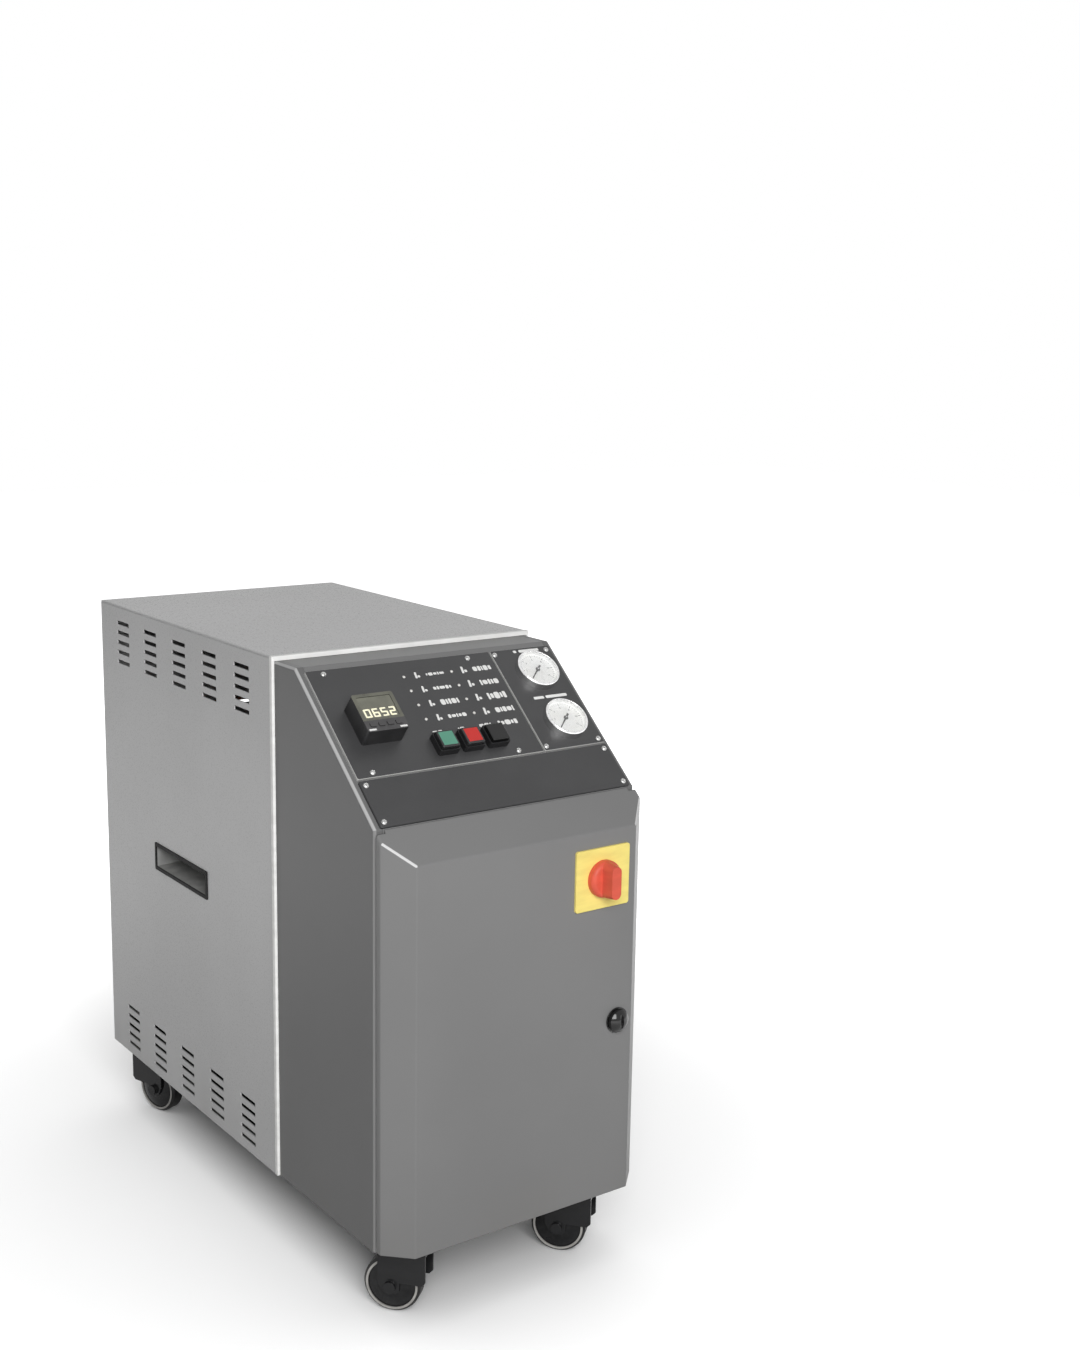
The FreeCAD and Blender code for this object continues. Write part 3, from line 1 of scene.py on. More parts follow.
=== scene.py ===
# %% [markdown]
# # A water temperature control unit, dressed in Blender
# The unit is a light sheet metal cabinet on four swivel casters. A darker nose stands in front of it,
# with a hinged door below and a sloped console above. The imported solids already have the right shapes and
# places, in metres, so this lesson adds what solids can't carry: paint, wear, print, glass and light.

import json
import math

import bpy
import numpy as np
from mathutils import Matrix, Vector

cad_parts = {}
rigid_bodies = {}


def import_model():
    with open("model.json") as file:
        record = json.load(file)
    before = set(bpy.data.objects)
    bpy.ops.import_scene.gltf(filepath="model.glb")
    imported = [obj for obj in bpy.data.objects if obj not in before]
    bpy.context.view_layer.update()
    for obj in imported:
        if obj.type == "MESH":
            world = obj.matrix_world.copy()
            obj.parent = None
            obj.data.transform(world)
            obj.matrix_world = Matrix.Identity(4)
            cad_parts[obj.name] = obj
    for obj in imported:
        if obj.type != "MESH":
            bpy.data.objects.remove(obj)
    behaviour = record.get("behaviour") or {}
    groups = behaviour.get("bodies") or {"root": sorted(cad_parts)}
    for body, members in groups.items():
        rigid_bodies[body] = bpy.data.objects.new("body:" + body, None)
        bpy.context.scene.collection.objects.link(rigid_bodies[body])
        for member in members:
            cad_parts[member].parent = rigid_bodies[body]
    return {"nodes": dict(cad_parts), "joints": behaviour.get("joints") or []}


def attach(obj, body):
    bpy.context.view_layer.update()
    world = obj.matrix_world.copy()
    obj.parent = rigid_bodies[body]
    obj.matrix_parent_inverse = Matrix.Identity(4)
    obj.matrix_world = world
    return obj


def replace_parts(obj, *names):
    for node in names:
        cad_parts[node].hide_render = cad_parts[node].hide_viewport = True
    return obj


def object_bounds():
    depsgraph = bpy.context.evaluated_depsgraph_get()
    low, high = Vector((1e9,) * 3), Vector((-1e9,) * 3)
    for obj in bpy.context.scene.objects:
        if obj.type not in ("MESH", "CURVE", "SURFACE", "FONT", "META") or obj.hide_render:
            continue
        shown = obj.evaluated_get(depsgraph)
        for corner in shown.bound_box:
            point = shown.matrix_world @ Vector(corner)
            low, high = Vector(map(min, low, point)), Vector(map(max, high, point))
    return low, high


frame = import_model()
nodes = frame["nodes"]
cad_low, cad_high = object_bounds()
cad_size = [round(high - low, 3) for low, high in zip(cad_low, cad_high)]
print(len(nodes), "solids in a box of", cad_size, "m")

# %% [markdown]
# ## The camera
# The view was worked out from the cabinet's corners: a least squares fit finds the lens, the place and
# the direction that bring them closest to where a picture shows them. Placing a camera by hand and
# nudging it would also do, but takes many tries. Yaw turns from +Y towards +X, pitch is above the horizon
# and roll leans the frame.

# %% Camera
PICTURE_HEIGHT_PX = 1350.0
SENSOR_MM = 36.0
FOCAL_PX = 1726.99
FAR_CLIP = 60.0
CAMERA_AT = Vector((-0.98755, -1.70541, 1.00072))
YAW = math.radians(36.262)
PITCH = math.radians(-11.005)
ROLL = math.radians(1.0217)

forward = Vector((math.sin(YAW) * math.cos(PITCH), math.cos(YAW) * math.cos(PITCH), math.sin(PITCH)))
level_right = Vector((math.cos(YAW), -math.sin(YAW), 0.0))
level_up = level_right.cross(forward)
right = level_right * math.cos(ROLL) + level_up * math.sin(ROLL)
up = level_up * math.cos(ROLL) - level_right * math.sin(ROLL)

lens = bpy.data.cameras.new("front_left_view")
lens.sensor_width = SENSOR_MM
lens.lens = FOCAL_PX * SENSOR_MM / PICTURE_HEIGHT_PX
lens.clip_end = FAR_CLIP
camera = bpy.data.objects.new("front_left_view", lens)
turn = Matrix((right, up, -forward)).transposed().to_4x4()
camera.matrix_world = Matrix.Translation(CAMERA_AT) @ turn
bpy.context.scene.collection.objects.link(camera)
bpy.context.scene.camera = camera
bpy.context.scene.view_settings.view_transform = "Standard"
print("lens", round(lens.lens, 2), "mm")

# %% [markdown]
# ## Shader sums in plain Python
# Node trees get hard to read once they hold arithmetic. Here one small class wraps an output socket, so
# that `1 - mask * 0.5` adds its own Math nodes. Every other kind of node comes from its one `node`
# method, which takes the settings first and the inputs after them.

# %% A socket that can be added and multiplied
def fill(node, inputs):
    """Gives each input of a node its link, or its plain value."""
    for name, value in inputs.items():
        if isinstance(value, Wire):
            node.id_data.links.new(value.socket, node.inputs[name])
        else:
            node.inputs[name].default_value = value


class Wire:
    """One output socket. Sums of wires and numbers add Math nodes to its material."""

    def __init__(self, socket):
        self.socket = socket

    def node(self, kind, settings, inputs, out=0):
        """A node of any kind in the same material, and the wire from one of its outputs."""
        made = self.socket.id_data.nodes.new("ShaderNode" + kind)
        for name, value in settings.items():
            setattr(made, name, value)
        fill(made, inputs)
        return Wire(made.outputs[out])

    def math(self, operation, *terms):
        return self.node("Math", {"operation": operation}, dict(enumerate(terms)))

    def __add__(self, other):
        return self.math("ADD", self, other)

    def __sub__(self, other):
        return self.math("SUBTRACT", self, other)

    def __rsub__(self, other):
        return self.math("SUBTRACT", other, self)

    def __mul__(self, other):
        return self.math("MULTIPLY", self, other)

    __radd__ = __add__
    __rmul__ = __mul__

    def ramp(self, low, high):
        """0 below low, 1 above high and a smooth step between."""
        settings = {"interpolation_type": "SMOOTHSTEP"}
        return self.node("MapRange", settings, {"Value": self, "From Min": low, "From Max": high})


# %% [markdown]
# ## Ingredients that several finishes share
# Clouds of noise give slow drifts of tone and fine grain alike, only at other scales. Worn edges come
# from the Bevel node: it rounds the normal over a small radius, so where that differs from the flat
# normal there is a corner. Pointiness would be quicker, but it needs a joined mesh, and the solids are
# loose triangles.

# %% Colour, noise, edges and bump
def tone(red, green, blue):
    """A colour as it is picked from a screen, 0 to 255, turned into the linear values that shaders add up."""
    shares = np.array((red, green, blue)) / 255.0
    linear = np.where(shares <= 0.04045, shares / 12.92, ((shares + 0.055) / 1.055) ** 2.4)
    return (*linear.tolist(), 1.0)


def scaled(colour, factor):
    """The same colour, lighter or darker."""
    return (*[min(1.0, c * factor) for c in colour[:3]], 1.0)


def begin(name):
    """A new material with its shader, and the Object coordinates as a wire."""
    material = bpy.data.materials.new(name)
    material.use_nodes = True
    tree = material.node_tree
    place = Wire(tree.nodes.new("ShaderNodeTexCoord").outputs["Object"])
    return material, tree.nodes["Principled BSDF"], place


def cloud(place, scale, detail=2.0):
    """Noise from 0 to 1, with the given number of lumps to the metre."""
    return place.node("TexNoise", {}, {"Vector": place, "Scale": scale, "Detail": detail})


def stretched(place, stretch):
    """Coordinates scaled by a different amount along each axis, for brushed and scuffed patterns."""
    return place.node("Mapping", {}, {"Vector": place, "Scale": stretch})


def blend(mask, first, second):
    """The first colour where the mask is 0 and the second where it is 1."""
    return mask.node("Mix", {"data_type": "RGBA"}, {0: mask, 6: first, 7: second}, 2)


def axis_value(place, index):
    """One coordinate of a place, in metres."""
    return place.node("SeparateXYZ", {}, {0: place}, index)


def dot(place, first, second):
    """The dot product of two vectors, each a wire or a plain one."""
    return place.node("VectorMath", {"operation": "DOT_PRODUCT"}, {0: first, 1: second}, "Value")


def flat_normal(place):
    """The way the surface faces, before any bump."""
    return place.node("NewGeometry", {}, {}, "Normal")


def facing(place, direction):
    """How squarely the surface faces a direction: 1 straight on, 0 edge on, -1 facing away."""
    return dot(place, flat_normal(place), direction)


def beyond(wire, border, soft=0.0002):
    """1 beyond a border and 0 before it, over a change so short that it looks sharp."""
    return wire.ramp(border - soft, border + soft)


def soft_corner(place, radius):
    """The normal rounded off over a radius, and a mask that is 1 along the corners it rounds."""
    rounded = place.node("Bevel", {"samples": 4}, {"Radius": radius})
    agree = dot(place, rounded, flat_normal(place))
    return rounded, (1 - agree).ramp(0.01, 0.22)


def bumped(height, normal, depth, strength):
    """A normal that follows a height pattern, on top of the rounded corners."""
    inputs = {"Height": height, "Normal": normal, "Distance": depth, "Strength": strength}
    return height.node("Bump", {}, inputs)


# %% [markdown]
# ## The stage
# A pale floor and soft light are what a product studio would use. The sky shows plain white to the camera
# and to reflections through the Light Path node, while the light that falls on the unit stays at a level
# where a paint renders about as it was picked. The floor does the same: lit rays see a pale grey, and the
# camera sees it bright enough to be white in the open, so the soft shadow under the unit keeps its full
# depth. Far away, where the light fades, a glow takes over and hides the horizon.

# %% Sky and floor
def seen_directly(wire):
    """1 for rays that show a thing to the camera, in a mirror or through glass, and 0 for lighting rays."""
    rays = wire.node("LightPath", {}, {}, "Is Camera Ray")
    source = rays.socket.node
    in_mirror = Wire(source.outputs["Is Glossy Ray"])
    through_glass = Wire(source.outputs["Is Transmission Ray"])
    return wire.math("MAXIMUM", rays, wire.math("MAXIMUM", in_mirror, through_glass))


SKY_LEVEL = 0.06
FLOOR_REACH = 9.0
FLOOR_LIT = 0.25
FLOOR_SEEN = 0.85
GLOW_FROM, GLOW_FULL = 0.45, 1.6

world = bpy.data.worlds.new("white_studio")
world.use_nodes = True
bpy.context.scene.world = world
sky = world.node_tree.nodes["Background"]
sky.inputs["Color"].default_value = (1.0, 1.0, 1.0, 1.0)
sky_place = Wire(world.node_tree.nodes.new("ShaderNodeTexCoord").outputs["Generated"])
fill(sky, {"Strength": SKY_LEVEL + (1.0 - SKY_LEVEL) * seen_directly(sky_place)})

side, depth = np.meshgrid(np.linspace(-1, 1, 3), np.linspace(-1, 1, 3), indexing="ij")
floor_points = np.stack((side, depth, 0 * side), -1).reshape(-1, 3) * FLOOR_REACH
corner = (np.arange(2)[:, None] * 3 + np.arange(2)).ravel()
floor_faces = np.stack((corner, corner + 3, corner + 4, corner + 1), -1)
floor_mesh = bpy.data.meshes.new("floor")
floor_mesh.from_pydata(floor_points.tolist(), [], floor_faces.tolist())
floor = bpy.data.objects.new("floor", floor_mesh)
bpy.context.scene.collection.objects.link(floor)

floor_paint, floor_shader, floor_place = begin("pale_floor")
direct = seen_directly(floor_place)
from_middle = floor_place.node("VectorMath", {"operation": "LENGTH"}, {0: floor_place}, "Value")
fill(floor_shader, {"Base Color": blend(direct, (FLOOR_LIT,) * 3 + (1.0,), (FLOOR_SEEN,) * 3 + (1.0,)),
                    "Roughness": 0.9, "Specular IOR Level": 0.0, "Emission Color": (1.0, 1.0, 1.0, 1.0),
                    "Emission Strength": direct * from_middle.ramp(GLOW_FROM, GLOW_FULL)})
floor_mesh.materials.append(floor_paint)
print("floor", 2 * FLOOR_REACH, "m across")


# %% [markdown]
# ## The light
# One soft box in front, to the left and above lights the door and its left facet best. The left side and
# the top get about two thirds as much, which is what tells the faces apart. A wide ceiling of light draws
# the soft shadow under the unit. It would wash out the top, so light linking lets it fall on the floor
# alone.

# %% Soft boxes
def soft_box(name, at, aim, size, watts):
    """A square area light that faces a point."""
    light = bpy.data.lights.new(name, "AREA")
    light.size = size
    light.energy = watts
    lamp = bpy.data.objects.new(name, light)
    heading = Vector(aim) - Vector(at)
    lamp.matrix_world = Matrix.Translation(at) @ heading.to_track_quat("-Z", "Y").to_matrix().to_4x4()
    bpy.context.scene.collection.objects.link(lamp)
    return lamp


soft_box("front_box", at=(-1.35, -3.2, 2.0), aim=(0.0, -0.1, 0.35), size=2.0, watts=125.0)
ceiling = soft_box("ceiling_box", at=(0.0, 0.0, 3.0), aim=(0.0, 0.0, 0.0), size=6.0, watts=184.0)
floor_only = bpy.data.collections.new("floor_only")
floor_only.objects.link(floor)
ceiling.light_linking.receiver_collection = floor_only
print("front box on the unit, ceiling box on the floor")

# %% [markdown]
# ## Sheet metal paint
# The cabinet and the nose are steel sheet, sprayed and baked. Such enamel is nearly smooth, with a faint
# orange peel a millimetre or two across, a slow drift of tone over each panel, and a little polish or
# loss along edges that hands and boxes rub. Image textures would show tiling on panels this large, so all
# of it comes from noise at different scales. The round folds of the cheeks get a painted highlight,
# palest where they look up, as if light catches them there. A fold is where the surface faces neither
# straight sideways nor straight across. On the door a painted glint lies on the mitre between facet and
# header: only it looks sideways, up and forward at once, so the product of the three finds it.

# %% Enamel
DUST_GREY = tone(118, 112, 104)
DUST_FULL_Z, DUST_END_Z = 0.085, 0.16
ENAMEL_CORNER = 0.0011
PEEL_DEPTH = 0.00005
# How much lighter the painted highlights on the folds and the door's mitre are.
PAINTED_HIGHLIGHT_GAIN = 3.4


def enamel(name, colour, rough, gloss, peel, rubbed, fold_highlight=0.0, mitre_highlight=0.0):
    """Baked enamel: drift of tone, orange peel, dust near the floor, rubbed corners, and painted highlights
    on folds and mitres.
    """
    material, shader, place = begin(name)
    drift = cloud(place, 4.0, 3.0)
    settled = cloud(stretched(place, (9.0, 9.0, 3.0)), 1.0, 4.0)
    skin = cloud(place, 520.0, 2.0) + 0.4 * cloud(place, 1500.0, 1.0)
    rounded, corner_mask = soft_corner(place, ENAMEL_CORNER)
    rub = corner_mask * cloud(place, 90.0, 3.0).ramp(0.42, 0.66) * rubbed
    low_dust = (1 - axis_value(place, 2).ramp(DUST_FULL_Z, DUST_END_Z)) * settled.ramp(0.35, 0.75)
    body = blend(drift.ramp(0.3, 0.7), scaled(colour, 0.955), scaled(colour, 1.04))
    dusty = blend(low_dust * 0.16, body, DUST_GREY)
    worn = blend(rub, dusty, scaled(colour, 1.55))
    # Painted highlight: folds that look up, and the door's mitre, are made lighter as if light caught them.
    sideways = place.math("ABSOLUTE", facing(place, (1.0, 0.0, 0.0)))
    fold = sideways.ramp(0.15, 0.45) * (1 - sideways.ramp(0.86, 0.98))
    skyward = facing(place, (0.0, 0.0, 1.0))
    upward = 0.3 + 0.7 * skyward.ramp(0.1, 0.5)
    mitre = (sideways * skyward).ramp(0.03, 0.10) * facing(place, (0.0, -1.0, 0.0)).ramp(0.64, 0.72)
    pale = fold * upward * fold_highlight + mitre * mitre_highlight
    fill(shader, {"Base Color": blend(pale, worn, scaled(colour, PAINTED_HIGHLIGHT_GAIN)),
                  "Roughness": rough + 0.06 * (skin - 0.7) + 0.10 * low_dust,
                  "Specular IOR Level": gloss,
                  "Normal": bumped(skin, rounded, PEEL_DEPTH, peel)})
    return material


def dress(finish, *names):
    """Puts a finish on whole solids, and says so."""
    for name in names:
        slots = nodes[name].data.materials
        slots.clear()
        slots.append(finish)
    print(finish.name, "on", ", ".join(names))


NOSE_GREY = tone(130, 130, 130)
NOSE_COAT = {"rough": 0.34, "gloss": 0.12, "peel": 0.20, "rubbed": 0.45}
shell_enamel = enamel("shell_enamel", tone(200, 200, 200), rough=0.28, gloss=0.15, peel=0.12, rubbed=0.35)
# The cheeks carry the nose grey darkened as painted shade, for the sides that face away from the light.
shaded_cheek_enamel = enamel("shaded_cheek_enamel", tone(115, 115, 115), **NOSE_COAT, fold_highlight=0.85)
# The base pan is painted near black as painted shade, so the vents look dark inside.
painted_shade_pan_enamel = enamel("painted_shade_pan_enamel", tone(46, 46, 47), rough=0.40, gloss=0.30, peel=0.20, rubbed=0.45)
dress(shell_enamel, "left_side_panel", "right_side_panel", "top_cover", "rear_panel", "bulkhead")
dress(enamel("nose_enamel", NOSE_GREY, **NOSE_COAT), "console_bed", "door_ears")
dress(enamel("door_enamel", NOSE_GREY, **NOSE_COAT, mitre_highlight=0.9), "front_door")
dress(shaded_cheek_enamel, "left_cheek", "right_cheek")
dress(painted_shade_pan_enamel, "base_pan")

# %% [markdown]
# ## Engraved console plates
# The console plates are black laminate, the usual stock for engraved panels. The two upper ones have a
# light core: the bevelled rim cuts through the black face, so each has a thin light outline. The lower
# one is black right through. One material can do this by asking which way the surface faces. Where it
# looks straight out of the slope it is the face, and on the bevel and the cut edge it is the core.

# %% Laminate
SLOPE = math.radians(40.0)
CONSOLE_OUT = (0.0, -math.sin(SLOPE), math.cos(SLOPE))
LAMINATE_GRAIN = 0.00006


def laminate(name, face, core):
    """Two-colour sheet: a fine sand-textured face, with the core showing on bevels and cut edges."""
    material, shader, place = begin(name)
    cut_edge = 1 - facing(place, CONSOLE_OUT).ramp(0.90, 0.97)
    grain = cloud(place, 2600.0, 2.0)
    drift = cloud(place, 14.0, 3.0)
    smear = cloud(stretched(place, (5.0, 40.0, 40.0)), 1.0, 4.0)
    top = blend(drift.ramp(0.3, 0.7), scaled(face, 0.90), scaled(face, 1.10))
    speckled = blend(grain.ramp(0.58, 0.74) * 0.35, top, scaled(face, 1.7))
    edge = blend(drift, scaled(core, 0.86), core)
    fill(shader, {"Base Color": blend(cut_edge, speckled, edge),
                  "Roughness": 0.38 + 0.14 * smear + 0.12 * cut_edge,
                  "Normal": bumped(grain, flat_normal(place), LAMINATE_GRAIN, 0.25)})
    return material


dress(laminate("cored_laminate", tone(56, 56, 57), tone(176, 176, 174)), "control_plate", "gauge_plate")
dress(laminate("solid_laminate", tone(54, 54, 55), tone(44, 44, 45)), "lower_plate")

# %% [markdown]
# ## Moulded plastics
# Switch, buttons, bezels, grips and wheels are moulded. A mould leaves a very fine spark-eroded grain
# that breaks up the highlight, a colour that hardly varies, and shine on corners where fingers polish it.
# One recipe covers them all, with the grain turned down for glossy parts.

# %% Plastic recipe
PLASTIC_GLOSS = 0.22
MOULDED_CORNER = 0.0007
MOULDED_GRAIN = 0.00004


def moulded(name, colour, rough, grained, gloss=PLASTIC_GLOSS):
    """Moulded plastic: spark-eroded grain, slight flow marks, and corners polished by use."""
    material, shader, place = begin(name)
    flow = cloud(stretched(place, (30.0, 30.0, 110.0)), 1.0, 3.0)
    grain = cloud(place, 3200.0, 1.0)
    handled = cloud(place, 45.0, 4.0)
    rounded, corner_mask = soft_corner(place, MOULDED_CORNER)
    body = blend(flow.ramp(0.3, 0.7), scaled(colour, 0.93), scaled(colour, 1.05))
    pale = blend(corner_mask * handled.ramp(0.45, 0.7) * 0.30, body, scaled(colour, 1.6))
    fill(shader, {"Base Color": pale,
                  "Roughness": rough + 0.10 * (handled - 0.5) - 0.10 * rough * corner_mask,
                  "Specular IOR Level": gloss,
                  "Normal": bumped(grain, rounded, MOULDED_GRAIN, grained)})
    return material


black_plastic = moulded("black_plastic", tone(34, 34, 35), rough=0.42, grained=0.5)
gloss_black = moulded("gloss_black", tone(18, 18, 18), rough=0.10, grained=0.0, gloss=0.4)
dress(black_plastic, "button_bezels", "switch_body", "cable_gland")
dress(gloss_black, "lock_housing", "lock_knob", "black_button")
dress(moulded("switch_yellow", tone(252, 232, 134), rough=0.40, grained=0.35), "switch_plate")
dress(moulded("switch_red", tone(224, 96, 76), rough=0.40, grained=0.35), "switch_handle")
dress(moulded("edge_white", tone(246, 246, 244), rough=0.34, grained=0.2), "edge_trim")
dress(moulded("beige_plastic", tone(196, 190, 174), rough=0.45, grained=0.5), "contactors")

# %% [markdown]
# ## Bare and plated metals
# Gauge rims, screws, brackets, pipes and the pump are metal of many kinds. What sets them apart is less
# the colour than the way the surface was worked: drawn tube has lines along it, cast iron is pitted, zinc
# plate is mottled, copper turns dark in patches. The recipe takes the direction of the lines and the
# amount of each mark.

# %% Metal recipe
METAL_CORNER = 0.0008
METAL_RELIEF = 0.00012


def metal(name, colour, rough, lines, pitted=0.0, stained=0.0, stain=(0.05, 0.04, 0.03, 1.0)):
    """Metal with worked lines along an axis, pits where it is cast, and patches of stain."""
    material, shader, place = begin(name)
    drawn = cloud(stretched(place, lines), 1.0, 3.0)
    pits = cloud(place, 420.0, 3.0)
    patch = cloud(place, 22.0, 5.0)
    rounded, corner_mask = soft_corner(place, METAL_CORNER)
    body = blend(drawn.ramp(0.25, 0.75), scaled(colour, 0.86), scaled(colour, 1.06))
    marked = blend(patch.ramp(0.48, 0.70) * stained, body, stain)
    bright = blend(corner_mask * 0.4, marked, scaled(colour, 1.3))
    height = drawn * 0.4 + pits * pitted
    fill(shader, {"Base Color": bright,
                  "Metallic": 1.0,
                  "Roughness": rough + 0.12 * (drawn - 0.5) + 0.22 * stained * patch,
                  "Normal": bumped(height, rounded, METAL_RELIEF, 0.12 + 0.5 * pitted)})
    return material


EVEN = (260.0, 260.0, 260.0)
ALONG_Y = (900.0, 40.0, 900.0)
ALONG_Z = (900.0, 900.0, 40.0)
dress(metal("polished_chrome", tone(232, 232, 232), 0.10, EVEN), "gauge_cases")
zinc = metal("zinc_plate", tone(190, 192, 194), 0.32, EVEN,
             pitted=0.1, stained=0.35, stain=tone(120, 122, 128))
dress(zinc, "frame_hinges", "hinge_pins", "electrical_plate", "caster_plates", "relief_valve")
dress(metal("stainless_tube", tone(196, 194, 190), 0.26, ALONG_Z), "heater_tank", "immersion_heater")
pipe_steel = metal("pipe_steel", tone(150, 150, 152), 0.36, ALONG_Y,
                   pitted=0.15, stained=0.4, stain=tone(86, 74, 64))
dress(pipe_steel, "process_pipes")
brass = metal("brass", tone(192, 164, 110), 0.30, EVEN,
              pitted=0.15, stained=0.4, stain=tone(112, 90, 56))
dress(brass, "solenoid_valve", "water_pipes")
copper = metal("copper_tube", tone(214, 136, 98), 0.28, ALONG_Y, stained=0.5, stain=tone(96, 54, 40))
dress(copper, "gauge_lines")
dress(metal("bright_shaft", tone(188, 186, 180), 0.22, ALONG_Y), "pump_rotor")

# %% [markdown]
# ## Painted castings
# The pump casing and its motor are castings under a thick coat of machine paint. The sand of the mould
# still shows through as a coarse skin, and the paint is chipped at corners.

# %% Casting paint
CASTING_CORNER = 0.0014
SAND_RELIEF = 0.0004


def casting_paint(name, colour):
    """Thick machine paint over a sand casting, chipped on corners down to dark iron."""
    material, shader, place = begin(name)
    sand = cloud(place, 330.0, 4.0)
    drift = cloud(place, 9.0, 3.0)
    rounded, corner_mask = soft_corner(place, CASTING_CORNER)
    chips = corner_mask * cloud(place, 160.0, 4.0).ramp(0.50, 0.62)
    body = blend(drift.ramp(0.3, 0.7), scaled(colour, 0.9), scaled(colour, 1.08))
    fill(shader, {"Base Color": blend(chips, body, tone(62, 58, 54)),
                  "Roughness": 0.42 + 0.2 * sand,
                  "Normal": bumped(sand, rounded, SAND_RELIEF, 0.35)})
    return material


dress(casting_paint("motor_paint", tone(74, 92, 112)), "pump_motor")
dress(casting_paint("casing_paint", tone(88, 96, 104)), "pump_casing")

# %% [markdown]
# ## The transformer behind the door
# A control transformer is a stack of thin steel sheets with the winding standing out above and below it,
# on a steel foot plate. Height tells sheets and winding apart and depth tells the foot. Noise squeezed
# along the depth draws the edges of the sheets.

# %% Transformer finish
CORE_BOTTOM_Z, CORE_TOP_Z = 0.1795, 0.2505
FOOT_FRONT_Y = -0.1355


def transformer_finish():
    """Grey steel between two heights and on the foot, amber varnished winding above and below the core."""
    material, shader, place = begin("transformer_finish")
    height = axis_value(place, 2)
    core = beyond(height, CORE_BOTTOM_Z) * (1 - beyond(height, CORE_TOP_Z))
    bare = place.math("MAXIMUM", core, beyond(axis_value(place, 1), FOOT_FRONT_Y))
    sheets = cloud(stretched(place, (8.0, 900.0, 8.0)), 1.0, 1.0)
    turns = cloud(stretched(place, (30.0, 30.0, 1100.0)), 1.0, 1.0)
    steel = blend(sheets.ramp(0.35, 0.65), tone(74, 75, 78), tone(112, 113, 116))
    varnish = blend(turns.ramp(0.35, 0.65), tone(116, 72, 40), tone(152, 100, 58))
    fill(shader, {"Base Color": blend(bare, varnish, steel),
                  "Roughness": 0.34 + 0.20 * bare + 0.10 * sheets})
    return material


dress(transformer_finish(), "control_transformer")

# %% [markdown]
# ## Hand grips
# A grip is one moulding, but its rim is matt black and the pocket behind it is a paler grey. Its distance
# from the middle of the unit tells the two apart: only the rim stands outside the side panel.

# %% Grip finish
PANEL_FACE_X = 0.165


def grip_plastic():
    """Black rim and grey pocket in one fine-grained moulding, polished where fingers pull."""
    material, shader, place = begin("grip_plastic")
    outside = beyond(place.math("ABSOLUTE", axis_value(place, 0)), PANEL_FACE_X)
    handled = cloud(place, 60.0, 4.0)
    grain = cloud(place, 3000.0, 1.0)
    rounded, corner_mask = soft_corner(place, MOULDED_CORNER)
    pocket = blend(handled.ramp(0.3, 0.75), tone(140, 140, 139), tone(164, 164, 162))
    rim = blend(handled.ramp(0.3, 0.75), tone(12, 12, 12), tone(22, 22, 22))
    fill(shader, {"Base Color": blend(outside, pocket, rim),
                  "Roughness": 0.44 + 0.16 * handled - 0.08 * corner_mask,
                  "Specular IOR Level": 0.05,
                  "Normal": bumped(grain, rounded, MOULDED_GRAIN, 0.4)})
    return material


dress(grip_plastic(), "left_hand_grip", "right_hand_grip")

# %% [markdown]
# ## Casters
# A caster has a black fork and one moulded wheel: a glossy dome, a pale ring near its edge that is a
# painted highlight along the rim, and a dull tyre. All three share one solid, so the finish asks how far a
# point lies from the axle. The packed record gives every axle as a place and a direction, and taking away
# the part along the axle leaves the distance from it.

# %% Caster finishes
RING_INNER, RING_OUTER = 0.0260, 0.0284
SCUFF_DEPTH = 0.0002


def caster_wheel(name, axle_at, axle_way):
    """Dome, ring and tyre by the distance from the axle: the root of reach squared less run squared."""
    material, shader, place = begin(name)
    offset = place.node("VectorMath", {"operation": "SUBTRACT"}, {0: place, 1: axle_at})
    reach = place.node("VectorMath", {"operation": "LENGTH"}, {0: offset}, "Value")
    run = dot(place, offset, axle_way)
    from_axle = place.math("SQRT", reach * reach - run * run)
    tyre = beyond(from_axle, RING_OUTER)
    ring = beyond(from_axle, RING_INNER) * (1 - tyre)
    dust = cloud(place, 70.0, 4.0)
    scuffs = cloud(place, 900.0, 3.0)
    dome_colour = blend(dust.ramp(0.3, 0.8), tone(20, 20, 21), tone(38, 38, 39))
    # The pale ring is a painted highlight, where the rim catches the light.
    rim_highlight_colour = blend(dust.ramp(0.3, 0.8), tone(182, 180, 176), tone(150, 148, 144))
    tyre_colour = blend(dust.ramp(0.35, 0.75), tone(26, 26, 27), tone(50, 49, 48))
    fill(shader, {"Base Color": blend(tyre, blend(ring, dome_colour, rim_highlight_colour), tyre_colour),
                  "Roughness": 0.10 + 0.10 * dust + 0.30 * tyre,
                  "Specular IOR Level": PLASTIC_GLOSS,
                  "Normal": bumped(scuffs * tyre, flat_normal(place), SCUFF_DEPTH, 0.3)})
    return material


fork_black = moulded("fork_black", tone(34, 34, 35), rough=0.20, grained=0.2)
for joint in frame["joints"]:
    if joint["name"].endswith("_caster_roll"):
        wheel, fork = joint["child"], joint["parent"]
        dress(caster_wheel(wheel + "_finish", joint["pos_m"], joint["axis"]), wheel)
        dress(fork_black, fork)
        print(wheel, "turns round", joint["pos_m"])

# %% [markdown]
# ## Dials, glass, lamps and the display
# A gauge has a white enamelled dial under a clear window. Real refraction would also bend the lamp's
# light away from the dial, so the window is mostly transparent instead: a thin film of shine with a few
# smears in it.

# %% Dial, lens, lamps and display glass
def dial_white():
    """White dial enamel with faint patches of yellowing."""
    material, shader, place = begin("dial_white")
    age = cloud(place, 30.0, 3.0)
    fill(shader, {"Base Color": blend(age.ramp(0.3, 0.8), tone(255, 255, 254), tone(250, 249, 244)),
                  "Roughness": 0.45 + 0.15 * age})
    return material


